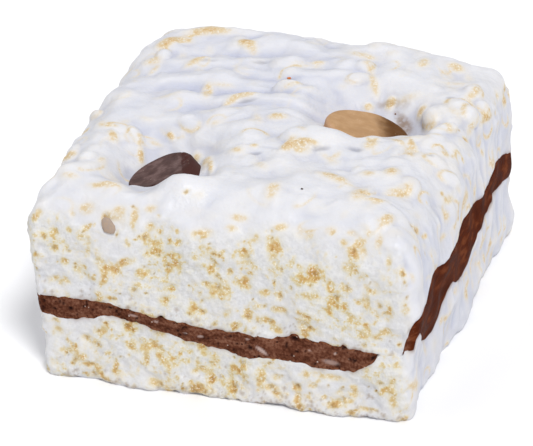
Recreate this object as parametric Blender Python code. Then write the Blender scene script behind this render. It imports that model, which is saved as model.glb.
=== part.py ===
"""Puffed rice and marshmallow treat: two crispy layers, a chocolate layer between them and two candy buttons.

The block is cut square and stands on its flat base. +X runs to the right along the cut front face,
+Y runs to the back and +Z is up. Every outer point lies where body_distance() is zero, so the crispy
layers and the chocolate share one surface. Lengths are in metres.
"""
import itertools
import math
import random

import bmesh
import bpy
import numpy as np
from mathutils import Matrix, Vector

MM = 0.001

# Driving dimensions of the block
BLOCK_WIDTH = 0.0812
BLOCK_DEPTH = 0.0862
BLOCK_HEIGHT = 0.0438
FLARE_LEFT = 0.0028
FLARE_RIGHT_FRONT = 0.0016
FLARE_HEIGHT = 0.026
LEFT_BULGE = 0.0016
RIGHT_BACK_BULGE = 0.0014
CORNER_RADIUS = 0.0045
# The front left corner is cut sharper, and leans out less
FRONT_LEFT_RADIUS = 0.0022
FRONT_LEFT_DRAW = 0.0008
# The right side is drawn in at its foot, near the front: how far, where along Y, and how long
PINCH_DEPTH = 0.0022
PINCH_Y = -0.030
PINCH_REACH = 0.013
EDGE_RADIUS_FRONT = 0.011
EDGE_RADIUS_BACK = 0.006
CROWN = 0.0018
CONTACT_GAP = 0.0003

# Soft relief of the marshmallow: (size of one lump, its height)
LUMPS = ((0.013, 0.0009), (0.0062, 0.0009))
LUMP_SEED = 7
# Long folds that run across the top at the back left
FOLD_PITCH = 0.0085
FOLD_HEIGHT = 0.0007
FOLD_SLANT = 0.18
FOLD_CENTRE = (-0.014, 0.020)
FOLD_REACH = 0.036
FOLD_FADE = 0.024
# Hollows and swellings of the top in mm: (x, y, reach, height)
TOP_FORMS_MM = (
    # round the chocolate button, and its lower rim at the front left
    (-19.5, -18.5, 17.5, -7.5),
    (-25.6, -28.5, 7.5, -2.0),
    (-19.3, -33.2, 6.5, -2.7),
    # round the caramel button
    (17.5, 9.5, 18.0, -6.5),
    (27.0, 9.0, 8.0, -2.0),
    # lips in front of the two buttons
    (-9.9, -33.0, 8.0, 3.0),
    (11.8, -7.5, 9.0, 2.8),
    (20.9, -3.5, 11.0, 1.3),
    # cluster of grains to the right of the caramel button
    (34.0, 12.0, 8.0, 0.8),
    (29.5, 12.5, 4.8, 1.8),
    (38.5, 15.5, 5.4, 1.5),
    # the back right corner is low and the back left one high
    (41.0, 43.0, 24.0, -2.6),
    (-22.0, 38.0, 18.0, 1.0),
)

# Chocolate layer: heights of its upper and lower edge in mm, at places round the block.
# A place is 0 to 1 along the front, 1 to 2 along the right side, 2 to 3 along the back, 3 to 4 along the left.
BAND_TOP_MM = (
    (0.00, 19.9), (0.06, 20.3), (0.16, 20.4), (0.32, 18.2), (0.50, 16.8), (0.63, 16.3), (0.70, 17.2),
    (0.84, 16.5), (0.90, 16.3), (0.98, 17.6), (1.00, 20.4), (1.03, 24.4), (1.08, 25.4), (1.14, 28.0),
    (1.22, 27.2), (1.28, 26.1), (1.37, 25.7), (1.43, 25.0), (1.47, 27.4), (1.51, 27.4), (1.60, 25.5),
    (1.65, 24.5), (1.72, 24.1), (1.76, 25.4), (1.79, 27.0), (1.87, 24.4), (2.00, 20.5), (2.20, 19.5),
    (2.45, 18.3), (2.70, 19.6), (3.00, 18.8), (3.25, 19.8), (3.50, 18.6), (3.75, 19.8), (4.00, 19.9),
)
BAND_BOTTOM_MM = (
    (0.00, 15.7), (0.05, 15.2), (0.09, 15.2), (0.13, 16.0), (0.20, 17.3), (0.25, 16.2), (0.32, 15.1),
    (0.40, 13.6), (0.50, 11.9), (0.55, 11.0), (0.66, 12.0), (0.77, 10.6), (0.85, 11.2), (0.90, 13.8),
    (0.98, 16.2), (0.99, 17.4), (1.028, 16.9), (1.034, 19.8), (1.045, 20.4), (1.06, 19.4), (1.10, 16.0),
    (1.15, 12.8), (1.19, 11.2), (1.22, 11.4), (1.25, 13.2), (1.29, 15.6), (1.32, 17.0), (1.35, 17.6),
    (1.38, 16.1), (1.45, 14.4), (1.50, 14.6), (1.53, 17.6), (1.57, 19.4), (1.62, 19.2), (1.65, 20.2),
    (1.70, 20.4), (1.80, 19.2), (1.86, 18.3), (1.96, 16.0), (2.25, 14.6), (2.50, 14.0), (2.75, 15.0),
    (3.00, 14.4), (3.25, 15.2), (3.50, 13.8), (3.75, 15.4), (4.00, 15.7),
)
BAND_CORE_TOP = 0.0190
BAND_CORE_BOTTOM = 0.0145
# Next to the front right corner the crispy layers close over the chocolate
COVERED_FROM = 0.915
COVERED_TO = 0.995
COVERED_HEIGHT = 0.0162
COVERED_HALF_THICKNESS = 0.0011
RING_INSET = 0.003
CORE_INSET = 0.010
BASE_INSET = 0.002
BASE_RAGGEDNESS = 0.0009
BASE_TOOTH_SIZE = 0.004

# Candy buttons. The face leans towards a direction in plan, by an angle in degrees.
CHOCOLATE_BUTTON = {
    "diameter": 0.0150,
    "thickness": 0.0054,
    "rounding": 0.0006,
    "centre": (-0.0183, -0.0237, 0.0403),
    "lean_towards": (-0.995, -0.100),
    "lean": 22.0,
}
CARAMEL_BUTTON = {
    "diameter": 0.0190,
    "thickness": 0.0068,
    "rounding": 0.0014,
    "centre": (0.0183, 0.0020, 0.0411),
    "lean_towards": (0.831, 0.556),
    "lean": 17.5,
}
BUTTON_SEGMENTS = 22
BUTTON_EDGE_STEPS = 3

# Puffed rice grains that stand out of the crispy layers
GRAIN_HALF_AXES = (0.0029, 0.0016, 0.0014)
GRAIN_SIZE_SPREAD = 0.18
GRAIN_SPACING = 0.0064
GRAIN_BAND_MARGIN = 0.0036
GRAIN_FLOOR_MARGIN = 0.0030
GRAIN_BUTTON_MARGIN = 0.0040
GRAINS_ON_TOP_LAYER = 88
GRAINS_ON_BOTTOM_LAYER = 24
GRAIN_LIFT_ON_TOP = 0.0001
GRAIN_LIFT_ON_SIDE = -0.0008
GRAIN_TILT = 14.0
GRAIN_SURFACE_TOLERANCE = 0.0006
GRAIN_SEED = 23

# Mesh density
CELLS_X = 25
CELLS_Y = 27
TOP_LAYER_ROWS = 8
BOTTOM_LAYER_ROWS = 5
CHOCOLATE_ROWS = 2
CHOCOLATE_RECESS = 0.00015
NOISE_SIZE = 32
SURFACE_STEPS = 9
SLOPE_STEP = 0.0001
LEAST_SLOPE_SQUARED = 0.25

COLOURS = {
    "crispy_top": ((0.84, 0.80, 0.72), 0.55),
    "crispy_bottom": ((0.82, 0.77, 0.66), 0.60),
    "chocolate_layer": ((0.085, 0.034, 0.018), 0.45),
    "chocolate_button": ((0.060, 0.040, 0.034), 0.40),
    "caramel_button": ((0.52, 0.29, 0.12), 0.38),
}


def clear_scene():
    for old_object in list(bpy.data.objects):
        bpy.data.objects.remove(old_object, do_unlink=True)


def smooth_step(value):
    clipped = np.clip(value, 0.0, 1.0)
    return clipped * clipped * (3.0 - 2.0 * clipped)


def lattice_noise(points, cell, seed):
    """Smooth noise from -1 to 1 whose lumps are about one cell across."""
    table = np.random.RandomState(seed).uniform(-1.0, 1.0, (NOISE_SIZE,) * 3)
    scaled = points / cell
    base = np.floor(scaled).astype(int)
    blend = smooth_step(scaled - base)
    total = np.zeros(len(points))
    for corner in itertools.product((0, 1), repeat=3):
        index = (base + corner) % NOISE_SIZE
        weight = np.prod(np.where(corner, blend, 1.0 - blend), axis=1)
        total += weight * table[index[:, 0], index[:, 1], index[:, 2]]
    return total


def top_height(x, y):
    """Height of the block's top, with its crown, folds, hollows and swellings."""
    crown = CROWN * np.clip(1.0 - (2.0 * x / BLOCK_WIDTH) ** 2, 0.0, 1.0)
    from_folds = np.hypot(x - FOLD_CENTRE[0], y - FOLD_CENTRE[1])
    fold_window = smooth_step((FOLD_REACH - from_folds) / FOLD_FADE)
    folds = FOLD_HEIGHT * fold_window * np.sin(2.0 * math.pi * (y - FOLD_SLANT * x) / FOLD_PITCH)
    height = BLOCK_HEIGHT + crown + folds
    for centre_x, centre_y, reach, rise in TOP_FORMS_MM:
        distance = np.hypot(x - MM * centre_x, y - MM * centre_y)
        height = height + MM * rise * smooth_step(1.0 - distance / (MM * reach))
    return height


def plan_distance(x, y, z):
    """Distance outside the block's rounded square outline, which widens upwards."""
    flare = smooth_step(z / FLARE_HEIGHT)
    at_back = smooth_step(0.5 + y / BLOCK_DEPTH)
    middle = np.sin(math.pi * np.clip(z / BLOCK_HEIGHT, 0.0, 1.0))
    bulge = LEFT_BULGE * np.clip(1.0 - (2.0 * y / BLOCK_DEPTH) ** 2, 0.0, 1.0)
    pinch = PINCH_DEPTH * smooth_step(1.0 - np.abs(y - PINCH_Y) / PINCH_REACH) * (1.0 - flare)
    at_front_left = smooth_step(-2.0 * x / BLOCK_WIDTH) * smooth_step(-2.0 * y / BLOCK_DEPTH)
    radius = CORNER_RADIUS + (FRONT_LEFT_RADIUS - CORNER_RADIUS) * at_front_left
    low = -0.5 * BLOCK_WIDTH - (FLARE_LEFT - FRONT_LEFT_DRAW * at_front_left + bulge) * flare
    high = 0.5 * BLOCK_WIDTH + FLARE_RIGHT_FRONT * flare * (1.0 - at_back)
    high = high + RIGHT_BACK_BULGE * middle * at_back - pinch
    across = np.abs(x - 0.5 * (low + high)) - (0.5 * (high - low) - radius)
    along = np.abs(y) - (0.5 * BLOCK_DEPTH - radius)
    outside = np.hypot(np.maximum(across, 0.0), np.maximum(along, 0.0))
    return outside + np.minimum(np.maximum(across, along), 0.0) - radius


def body_distance(points):
    """Distance outside the whole block, less than zero inside it."""
    x, y, z = points[:, 0], points[:, 1], points[:, 2]
    towards_front = smooth_step(0.5 - y / BLOCK_DEPTH)
    radius = EDGE_RADIUS_BACK + (EDGE_RADIUS_FRONT - EDGE_RADIUS_BACK) * towards_front
    side = plan_distance(x, y, z) + radius
    above = z - top_height(x, y) + radius
    rounded = np.hypot(np.maximum(side, 0.0), np.maximum(above, 0.0))
    distance = rounded + np.minimum(np.maximum(side, above), 0.0) - radius
    for number, (size, height) in enumerate(LUMPS):
        distance = distance - height * lattice_noise(points, size, LUMP_SEED + number)
    return distance


def surface_slope(points):
    """Gradient of body_distance by central differences."""
    slope = np.zeros_like(points)
    for axis in range(3):
        step = np.zeros(3)
        step[axis] = SLOPE_STEP
        slope[:, axis] = body_distance(points + step) - body_distance(points - step)
    return slope / (2.0 * SLOPE_STEP)


def draw_to_surface(points, keep_height):
    """Moves points onto the block's surface; those with keep_height only move sideways."""
    moved = points.copy()
    for _ in range(SURFACE_STEPS):
        slope = surface_slope(moved)
        slope[keep_height, 2] = 0.0
        length_squared = np.maximum((slope ** 2).sum(axis=1), LEAST_SLOPE_SQUARED)
        moved -= slope * (body_distance(moved) / length_squared)[:, None]
    return moved


def outline_places():
    """The sharp rectangle's boundary points, counter-clockwise from the front left, as (x, y, place)."""
    half_x, half_y = 0.5 * BLOCK_WIDTH, 0.5 * BLOCK_DEPTH
    sides = (
        ((-half_x, -half_y), (half_x, -half_y), CELLS_X),
        ((half_x, -half_y), (half_x, half_y), CELLS_Y),
        ((half_x, half_y), (-half_x, half_y), CELLS_X),
        ((-half_x, half_y), (-half_x, -half_y), CELLS_Y),
    )
    places = []
    for side, (start, end, cells) in enumerate(sides):
        for cell in range(cells):
            part = cell / cells
            x = start[0] + (end[0] - start[0]) * part
            y = start[1] + (end[1] - start[1]) * part
            places.append((x, y, side + part))
    return np.array(places)


def band_height(place, table_mm):
    positions, heights = zip(*table_mm)
    return MM * np.interp(np.asarray(place) % 4.0, positions, heights)


def is_covered(place):
    return (place > COVERED_FROM) & (place < COVERED_TO)


def place_of(x, y):
    """Where a point lies round the block, 0 to 4, as outline_places counts it."""
    across, along = 2.0 * x / BLOCK_WIDTH, 2.0 * y / BLOCK_DEPTH
    if abs(along) >= abs(across):
        ratio = across / max(abs(along), 1e-9)
        return 0.5 + 0.5 * ratio if along < 0.0 else 2.5 - 0.5 * ratio
    ratio = along / abs(across)
    return 1.5 + 0.5 * ratio if across > 0.0 else 3.5 - 0.5 * ratio


def inset_ring(places, inset, heights):
    """Ring of points drawn in from the outline by an inset, at the given heights."""
    outline = draw_plan_corners(places)
    scale = 1.0 - inset / (0.5 * BLOCK_WIDTH)
    return np.column_stack((outline * scale, np.broadcast_to(heights, len(places))))


def draw_plan_corners(places):
    """The outline's x and y with its four corners rounded."""
    points = places[:, :2].copy()
    inner = np.array([0.5 * BLOCK_WIDTH, 0.5 * BLOCK_DEPTH]) - CORNER_RADIUS
    beyond = points - np.clip(points, -inner, inner)
    length = np.maximum(np.hypot(beyond[:, 0], beyond[:, 1]), 1e-9)
    at_corner = (np.abs(beyond) > 1e-9).all(axis=1)
    rounded = np.clip(points, -inner, inner) + beyond * (CORNER_RADIUS / length)[:, None]
    points[at_corner] = rounded[at_corner]
    return points


class Layer:
    """Closed mesh put together from rings with one point for each place round the block."""

    def __init__(self, name, places):
        self.name = name
        self.places = places
        self.covered = is_covered(places[:, 2])
        self.mesh = bmesh.new()

    def add_ring(self, points):
        return [self.mesh.verts.new(point) for point in points]

    def join(self, outer, inner):
        """Joins two rings by triangles. Diagonals follow the edge of the covered stretch."""
        count = len(outer)
        for start in range(count):
            end = (start + 1) % count
            if self.covered[start] and not self.covered[end]:
                corners = ((outer[start], outer[end], inner[start]), (outer[end], inner[end], inner[start]))
            else:
                corners = ((outer[start], outer[end], inner[end]), (outer[start], inner[end], inner[start]))
            for triangle in corners:
                if len(set(triangle)) == 3:
                    self.mesh.faces.new(triangle)

    def cap(self, ring):
        self.mesh.faces.new(ring)

    def finish(self):
        """Turns the faces outwards, splits them into triangles and makes the object."""
        bmesh.ops.recalc_face_normals(self.mesh, faces=self.mesh.faces)
        bmesh.ops.triangulate(self.mesh, faces=self.mesh.faces)
        return make_object(self.name, self.mesh)


def make_object(name, mesh_data):
    mesh = bpy.data.meshes.new(name)
    mesh_data.to_mesh(mesh)
    mesh_data.free()
    made = bpy.data.objects.new(name, mesh)
    bpy.context.scene.collection.objects.link(made)
    return made


def band_rings(places, table_mm, core_height, covered_shift, clearance):
    """Heights of one face of the chocolate layer at the outline, at RING_INSET and at CORE_INSET."""
    edge = band_height(places[:, 2], table_mm)
    covered = is_covered(places[:, 2])
    at_outline = np.where(covered, COVERED_HEIGHT, edge) + clearance
    at_ring = np.where(covered, COVERED_HEIGHT + covered_shift, edge) + clearance
    at_core = np.full(len(places), core_height + clearance)
    return at_outline, at_ring, at_core


def upper_band_rings(places, clearance):
    return band_rings(places, BAND_TOP_MM, BAND_CORE_TOP, COVERED_HALF_THICKNESS, clearance)


def lower_band_rings(places, clearance):
    return band_rings(places, BAND_BOTTOM_MM, BAND_CORE_BOTTOM, -COVERED_HALF_THICKNESS, clearance)


def side_points(places, heights, keep_height):
    points = np.column_stack((places[:, :2], heights))
    return draw_to_surface(points, np.full(len(places), keep_height))


def build_top_layer(places):
    """Crispy layer above the chocolate, with the block's lumpy top."""
    layer = Layer("crispy_top", places)
    at_outline, at_ring, at_core = upper_band_rings(places, 0.5 * CONTACT_GAP)
    core_ring = layer.add_ring(inset_ring(places, CORE_INSET, at_core))
    inset = layer.add_ring(inset_ring(places, RING_INSET, at_ring))
    layer.cap(core_ring)
    layer.join(inset, core_ring)
    ring = layer.add_ring(side_points(places, at_outline, True))
    layer.join(ring, inset)
    for row in range(1, TOP_LAYER_ROWS + 1):
        heights = at_outline + (BLOCK_HEIGHT - at_outline) * row / TOP_LAYER_ROWS
        upper = layer.add_ring(side_points(places, heights, False))
        layer.join(upper, ring)
        ring = upper
    add_top_grid(layer, ring)
    return layer.finish()


def add_top_grid(layer, rim):
    """Fills the top with a grid whose border is the uppermost ring."""
    xs = np.linspace(-0.5 * BLOCK_WIDTH, 0.5 * BLOCK_WIDTH, CELLS_X + 1)
    ys = np.linspace(-0.5 * BLOCK_DEPTH, 0.5 * BLOCK_DEPTH, CELLS_Y + 1)
    flat = np.array([(x, y, BLOCK_HEIGHT) for x in xs for y in ys])
    drawn = draw_to_surface(flat, np.zeros(len(flat), dtype=bool))
    rim_index = {}
    for position, (column, row) in enumerate(rim_cells()):
        rim_index[(column, row)] = rim[position]
    grid = {}
    for column in range(CELLS_X + 1):
        for row in range(CELLS_Y + 1):
            vertex = rim_index.get((column, row))
            if vertex is None:
                vertex = layer.mesh.verts.new(drawn[column * (CELLS_Y + 1) + row])
            grid[(column, row)] = vertex
    for column in range(CELLS_X):
        for row in range(CELLS_Y):
            corners = ((column, row), (column + 1, row), (column + 1, row + 1), (column, row + 1))
            layer.mesh.faces.new([grid[corner] for corner in corners])


def rim_cells():
    """Grid columns and rows of the outline's places, in their order."""
    front = [(column, 0) for column in range(CELLS_X)]
    right = [(CELLS_X, row) for row in range(CELLS_Y)]
    back = [(column, CELLS_Y) for column in range(CELLS_X, 0, -1)]
    left = [(0, row) for row in range(CELLS_Y, 0, -1)]
    return front + right + back + left


def build_bottom_layer(places):
    """Crispy layer below the chocolate, flat underneath with a ragged lower edge."""
    layer = Layer("crispy_bottom", places)
    at_outline, at_ring, at_core = lower_band_rings(places, -0.5 * CONTACT_GAP)
    base_ring = layer.add_ring(inset_ring(places, BASE_INSET, 0.0))
    layer.cap(base_ring)
    edge_points = np.column_stack((places[:, :2], np.zeros(len(places))))
    lowest = BASE_RAGGEDNESS * (0.5 + 0.5 * lattice_noise(edge_points, BASE_TOOTH_SIZE, LUMP_SEED))
    ring = layer.add_ring(side_points(places, lowest, True))
    layer.join(ring, base_ring)
    for row in range(1, BOTTOM_LAYER_ROWS + 1):
        heights = lowest + (at_outline - lowest) * row / BOTTOM_LAYER_ROWS
        upper = layer.add_ring(side_points(places, heights, True))
        layer.join(upper, ring)
        ring = upper
    inset = layer.add_ring(inset_ring(places, RING_INSET, at_ring))
    core_ring = layer.add_ring(inset_ring(places, CORE_INSET, at_core))
    layer.join(ring, inset)
    layer.join(inset, core_ring)
    layer.cap(core_ring)
    return layer.finish()


def build_chocolate_layer(places):
    """Chocolate that runs through the block and shows as a wavy band on its sides."""
    layer = Layer("chocolate_layer", places)
    upper = upper_band_rings(places, -0.5 * CONTACT_GAP)
    lower = lower_band_rings(places, 0.5 * CONTACT_GAP)
    top_core = layer.add_ring(inset_ring(places, CORE_INSET, upper[2]))
    top_inset = layer.add_ring(inset_ring(places, RING_INSET, upper[1]))
    bottom_inset = layer.add_ring(inset_ring(places, RING_INSET, lower[1]))
    bottom_core = layer.add_ring(inset_ring(places, CORE_INSET, lower[2]))
    layer.cap(top_core)
    layer.join(top_inset, top_core)
    layer.join(bottom_inset, bottom_core)
    layer.cap(bottom_core)
    rings = []
    for row in range(CHOCOLATE_ROWS + 1):
        part = row / CHOCOLATE_ROWS
        heights = lower[0] + (upper[0] - lower[0]) * part
        points = side_points(places, heights, True)
        points[:, :2] *= 1.0 - CHOCOLATE_RECESS / (0.5 * BLOCK_WIDTH)
        ring = []
        for place in range(len(places)):
            if not layer.covered[place]:
                ring.append(layer.mesh.verts.new(points[place]))
            elif row == 0:
                ring.append(bottom_inset[place])
            elif row == CHOCOLATE_ROWS:
                ring.append(top_inset[place])
            else:
                ring.append(layer.mesh.verts.new(
                    bottom_inset[place].co.lerp(top_inset[place].co, part)))
        rings.append(ring)
    layer.join(rings[0], bottom_inset)
    for lower_ring, upper_ring in zip(rings, rings[1:]):
        layer.join(upper_ring, lower_ring)
    layer.join(rings[-1], top_inset)
    return layer.finish()


def lean_matrix(button):
    """Turns +Z towards the side that the button's face leans to, and moves it to its centre."""
    towards = Vector((button["lean_towards"][0], button["lean_towards"][1], 0.0)).normalized()
    axis = Vector((0.0, 0.0, 1.0)).cross(towards)
    turn = Matrix.Rotation(math.radians(button["lean"]), 4, axis)
    return Matrix.Translation(button["centre"]) @ turn


def build_button(name, button, growth=0.0):
    """Round button with rounded edges; growth makes it larger all round."""
    height = button["thickness"] + 2.0 * growth
    radius = 0.5 * button["diameter"] + growth
    shape = bmesh.new()
    bmesh.ops.create_cone(
        shape, cap_ends=True, segments=BUTTON_SEGMENTS, radius1=radius, radius2=radius, depth=height)
    rims = [edge for edge in shape.edges if abs(edge.verts[0].co.z - edge.verts[1].co.z) < 0.5 * height]
    bmesh.ops.bevel(
        shape, geom=rims, offset=button["rounding"] + growth, segments=BUTTON_EDGE_STEPS, profile=0.5,
        affect="EDGES", clamp_overlap=True)
    bmesh.ops.transform(shape, matrix=lean_matrix(button), verts=shape.verts)
    bmesh.ops.triangulate(shape, faces=shape.faces)
    return make_object(name, shape)


def add_grain(collection, centre, normal, chance):
    """One puffed rice grain lying on the surface, a lightly uneven ellipsoid."""
    shape = bmesh.new()
    bmesh.ops.create_uvsphere(shape, u_segments=6, v_segments=4, radius=1.0)
    spread = [1.0 + chance.uniform(-GRAIN_SIZE_SPREAD, GRAIN_SIZE_SPREAD) for _ in range(3)]
    size = Matrix.Diagonal([half * grow for half, grow in zip(GRAIN_HALF_AXES, spread)] + [1.0])
    on_side = Matrix.Rotation(math.radians(90.0), 4, "Y")
    lengthways = Matrix.Rotation(chance.uniform(0.0, 2.0 * math.pi), 4, "Z")
    tilt = Matrix.Rotation(math.radians(chance.uniform(-GRAIN_TILT, GRAIN_TILT)), 4, "Y")
    stand = normal.to_track_quat("Z", "Y").to_matrix().to_4x4()
    place = Matrix.Translation(centre)
    bmesh.ops.transform(shape, matrix=place @ stand @ lengthways @ tilt @ size @ on_side, verts=shape.verts)
    mesh = bpy.data.meshes.new("grain")
    shape.to_mesh(mesh)
    shape.free()
    collection.objects.link(bpy.data.objects.new("grain", mesh))


def surface_sampler(layer_object, chance):
    """Yields random points and normals on the layer's own faces, evenly by area."""
    mesh = layer_object.data
    areas = np.array([face.area for face in mesh.polygons])
    total = np.cumsum(areas)
    while True:
        face = mesh.polygons[int(np.searchsorted(total, chance.uniform(0.0, total[-1])))]
        a, b, c = (mesh.vertices[index].co for index in face.vertices)
        u, v = chance.random(), chance.random()
        if u + v > 1.0:
            u, v = 1.0 - u, 1.0 - v
        yield a + (b - a) * u + (c - a) * v


def clear_of_buttons(point):
    for button in (CHOCOLATE_BUTTON, CARAMEL_BUTTON):
        offset = Vector(button["centre"]) - point
        if offset.length < 0.5 * button["diameter"] + GRAIN_BUTTON_MARGIN:
            return False
    return True


def clear_of_band(point, above_band):
    place = place_of(point.x, point.y)
    if above_band:
        return point.z > band_height(place, BAND_TOP_MM) + GRAIN_BAND_MARGIN
    below = point.z < band_height(place, BAND_BOTTOM_MM) - GRAIN_BAND_MARGIN
    return below and point.z > GRAIN_FLOOR_MARGIN


def is_outside_face(point):
    return abs(body_distance(np.array([point]))[0]) < GRAIN_SURFACE_TOLERANCE


def scatter_grains(layer_object, count, above_band, seed):
    """Places grains on the layer's outside, one spacing apart, and fuses them to it."""
    chance = random.Random(seed)
    collection = bpy.data.collections.new(layer_object.name + "_grains")
    taken = []
    sampler = surface_sampler(layer_object, chance)
    while len(taken) < count:
        point = next(sampler)
        if not (clear_of_band(point, above_band) and clear_of_buttons(point) and is_outside_face(point)):
            continue
        if any((point - other).length < GRAIN_SPACING for other in taken):
            continue
        taken.append(point)
        normal = Vector(surface_slope(np.array([point]))[0]).normalized()
        upward = max(normal.z, 0.0)
        lift = GRAIN_LIFT_ON_SIDE + (GRAIN_LIFT_ON_TOP - GRAIN_LIFT_ON_SIDE) * upward
        add_grain(collection, point + normal * lift, normal, chance)
    fuse(layer_object, collection)


def fuse(target, collection):
    """One union of the target with all that the collection holds, which is then removed."""
    union = target.modifiers.new("grains", "BOOLEAN")
    union.operation = "UNION"
    union.operand_type = "COLLECTION"
    union.collection = collection
    apply_modifiers(target)
    for grain in list(collection.objects):
        bpy.data.objects.remove(grain, do_unlink=True)
    bpy.data.collections.remove(collection)


def cut_pocket(target, button):
    """Cuts the space that a button sits in, one contact gap wider than the button."""
    cutter = build_button("button_pocket", button, CONTACT_GAP)
    cutter.hide_render = True
    cutter.display_type = "WIRE"
    cut = target.modifiers.new("pocket", "BOOLEAN")
    cut.operation = "DIFFERENCE"
    cut.object = cutter
    apply_modifiers(target)
    bpy.data.objects.remove(cutter, do_unlink=True)


def apply_modifiers(target):
    evaluated = target.evaluated_get(bpy.context.evaluated_depsgraph_get())
    mesh = bpy.data.meshes.new_from_object(evaluated)
    target.modifiers.clear()
    target.data = mesh


def centre_on_base(parts):
    """Moves all parts together so that the origin is the middle of the block's base."""
    corners = np.array([vertex.co[:] for part in parts for vertex in part.data.vertices])
    low, high = corners.min(axis=0), corners.max(axis=0)
    shift = Vector((-0.5 * (low[0] + high[0]), -0.5 * (low[1] + high[1]), -low[2]))
    for part in parts:
        part.data.transform(Matrix.Translation(shift))


def paint(part):
    colour, roughness = COLOURS[part.name]
    material = bpy.data.materials.new(part.name)
    material.use_nodes = True
    shader = material.node_tree.nodes["Principled BSDF"]
    shader.inputs["Base Color"].default_value = (*colour, 1.0)
    shader.inputs["Roughness"].default_value = roughness
    shader.inputs["Metallic"].default_value = 0.0
    part.data.materials.clear()
    part.data.materials.append(material)


def build_treat():
    clear_scene()
    places = outline_places()
    top = build_top_layer(places)
    bottom = build_bottom_layer(places)
    chocolate = build_chocolate_layer(places)
    scatter_grains(top, GRAINS_ON_TOP_LAYER, True, GRAIN_SEED)
    scatter_grains(bottom, GRAINS_ON_BOTTOM_LAYER, False, GRAIN_SEED + 1)
    buttons = []
    for name, button in (("chocolate_button", CHOCOLATE_BUTTON), ("caramel_button", CARAMEL_BUTTON)):
        cut_pocket(top, button)
        buttons.append(build_button(name, button))
    parts = [top, bottom, chocolate] + buttons
    centre_on_base(parts)
    for part in parts:
        paint(part)


build_treat()
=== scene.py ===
"""Looks of the puffed rice and marshmallow treat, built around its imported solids.

Design places are measured from the middle of the block's own rectangle: +X runs to the right along the cut
front face, +Y to the back and +Z up. block_shift() moves them to the frame. Lengths are in metres.
"""
import itertools
import math

import bpy
import numpy as np
from mathutils import Matrix, Vector
from mathutils.kdtree import KDTree


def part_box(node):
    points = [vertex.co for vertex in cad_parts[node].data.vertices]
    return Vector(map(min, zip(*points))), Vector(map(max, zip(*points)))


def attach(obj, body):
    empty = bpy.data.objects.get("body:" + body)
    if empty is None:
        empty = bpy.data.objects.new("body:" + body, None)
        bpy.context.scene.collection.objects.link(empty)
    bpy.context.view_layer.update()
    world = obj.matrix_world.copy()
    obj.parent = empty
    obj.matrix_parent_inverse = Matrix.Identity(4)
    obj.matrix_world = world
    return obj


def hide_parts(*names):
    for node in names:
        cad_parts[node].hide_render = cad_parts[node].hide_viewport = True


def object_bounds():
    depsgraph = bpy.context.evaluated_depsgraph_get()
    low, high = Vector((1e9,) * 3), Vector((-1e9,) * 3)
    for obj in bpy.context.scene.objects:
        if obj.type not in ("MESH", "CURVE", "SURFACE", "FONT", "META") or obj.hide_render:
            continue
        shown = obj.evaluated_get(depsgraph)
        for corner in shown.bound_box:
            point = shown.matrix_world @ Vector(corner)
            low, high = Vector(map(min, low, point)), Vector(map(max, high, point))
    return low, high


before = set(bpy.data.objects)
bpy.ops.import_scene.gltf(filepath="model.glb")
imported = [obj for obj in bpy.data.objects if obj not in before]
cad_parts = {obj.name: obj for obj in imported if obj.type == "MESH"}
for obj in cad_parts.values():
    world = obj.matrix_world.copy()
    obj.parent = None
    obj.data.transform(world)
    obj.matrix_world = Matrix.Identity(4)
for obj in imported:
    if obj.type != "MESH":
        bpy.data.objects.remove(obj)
cad_low, cad_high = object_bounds()

MM = 0.001
TINY = 1e-9
IMAGE_WIDTH = 533

# The block, as the solids have it
BLOCK_WIDTH = 0.0812
BLOCK_DEPTH = 0.0862
BLOCK_HEIGHT = 0.0438
FLARE_LEFT = 0.0028
FLARE_RIGHT_FRONT = 0.0016
FLARE_HEIGHT = 0.026
LEFT_BULGE = 0.0016
RIGHT_BACK_BULGE = 0.0014
CORNER_RADIUS = 0.0045
FRONT_LEFT_RADIUS = 0.0022
FRONT_LEFT_DRAW = 0.0008
PINCH_DEPTH = 0.0022
PINCH_Y = -0.030
PINCH_REACH = 0.013
EDGE_RADIUS_FRONT = 0.011
EDGE_RADIUS_BACK = 0.006
CROWN = 0.0018
LUMPS = ((0.013, 0.0009), (0.0062, 0.0009))
LUMP_SEED = 7
FOLD_PITCH = 0.0085
FOLD_HEIGHT = 0.0007
FOLD_SLANT = 0.18
FOLD_CENTRE = (-0.014, 0.020)
FOLD_REACH = 0.036
FOLD_FADE = 0.024
# Hollows and swellings of the top in mm: (x, y, reach, height)
TOP_FORMS_MM = (
    (-19.5, -18.5, 17.5, -7.5),
    (-25.6, -28.5, 7.5, -2.0),
    (-19.3, -33.2, 6.5, -2.7),
    (17.5, 9.5, 18.0, -6.5),
    (27.0, 9.0, 8.0, -2.0),
    (-9.9, -33.0, 8.0, 3.0),
    (11.8, -7.5, 9.0, 2.8),
    (20.9, -3.5, 11.0, 1.3),
    (34.0, 12.0, 8.0, 0.8),
    (29.5, 12.5, 4.8, 1.8),
    (38.5, 15.5, 5.4, 1.5),
    (41.0, 43.0, 24.0, -2.6),
    (-22.0, 38.0, 18.0, 1.0),
)
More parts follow.
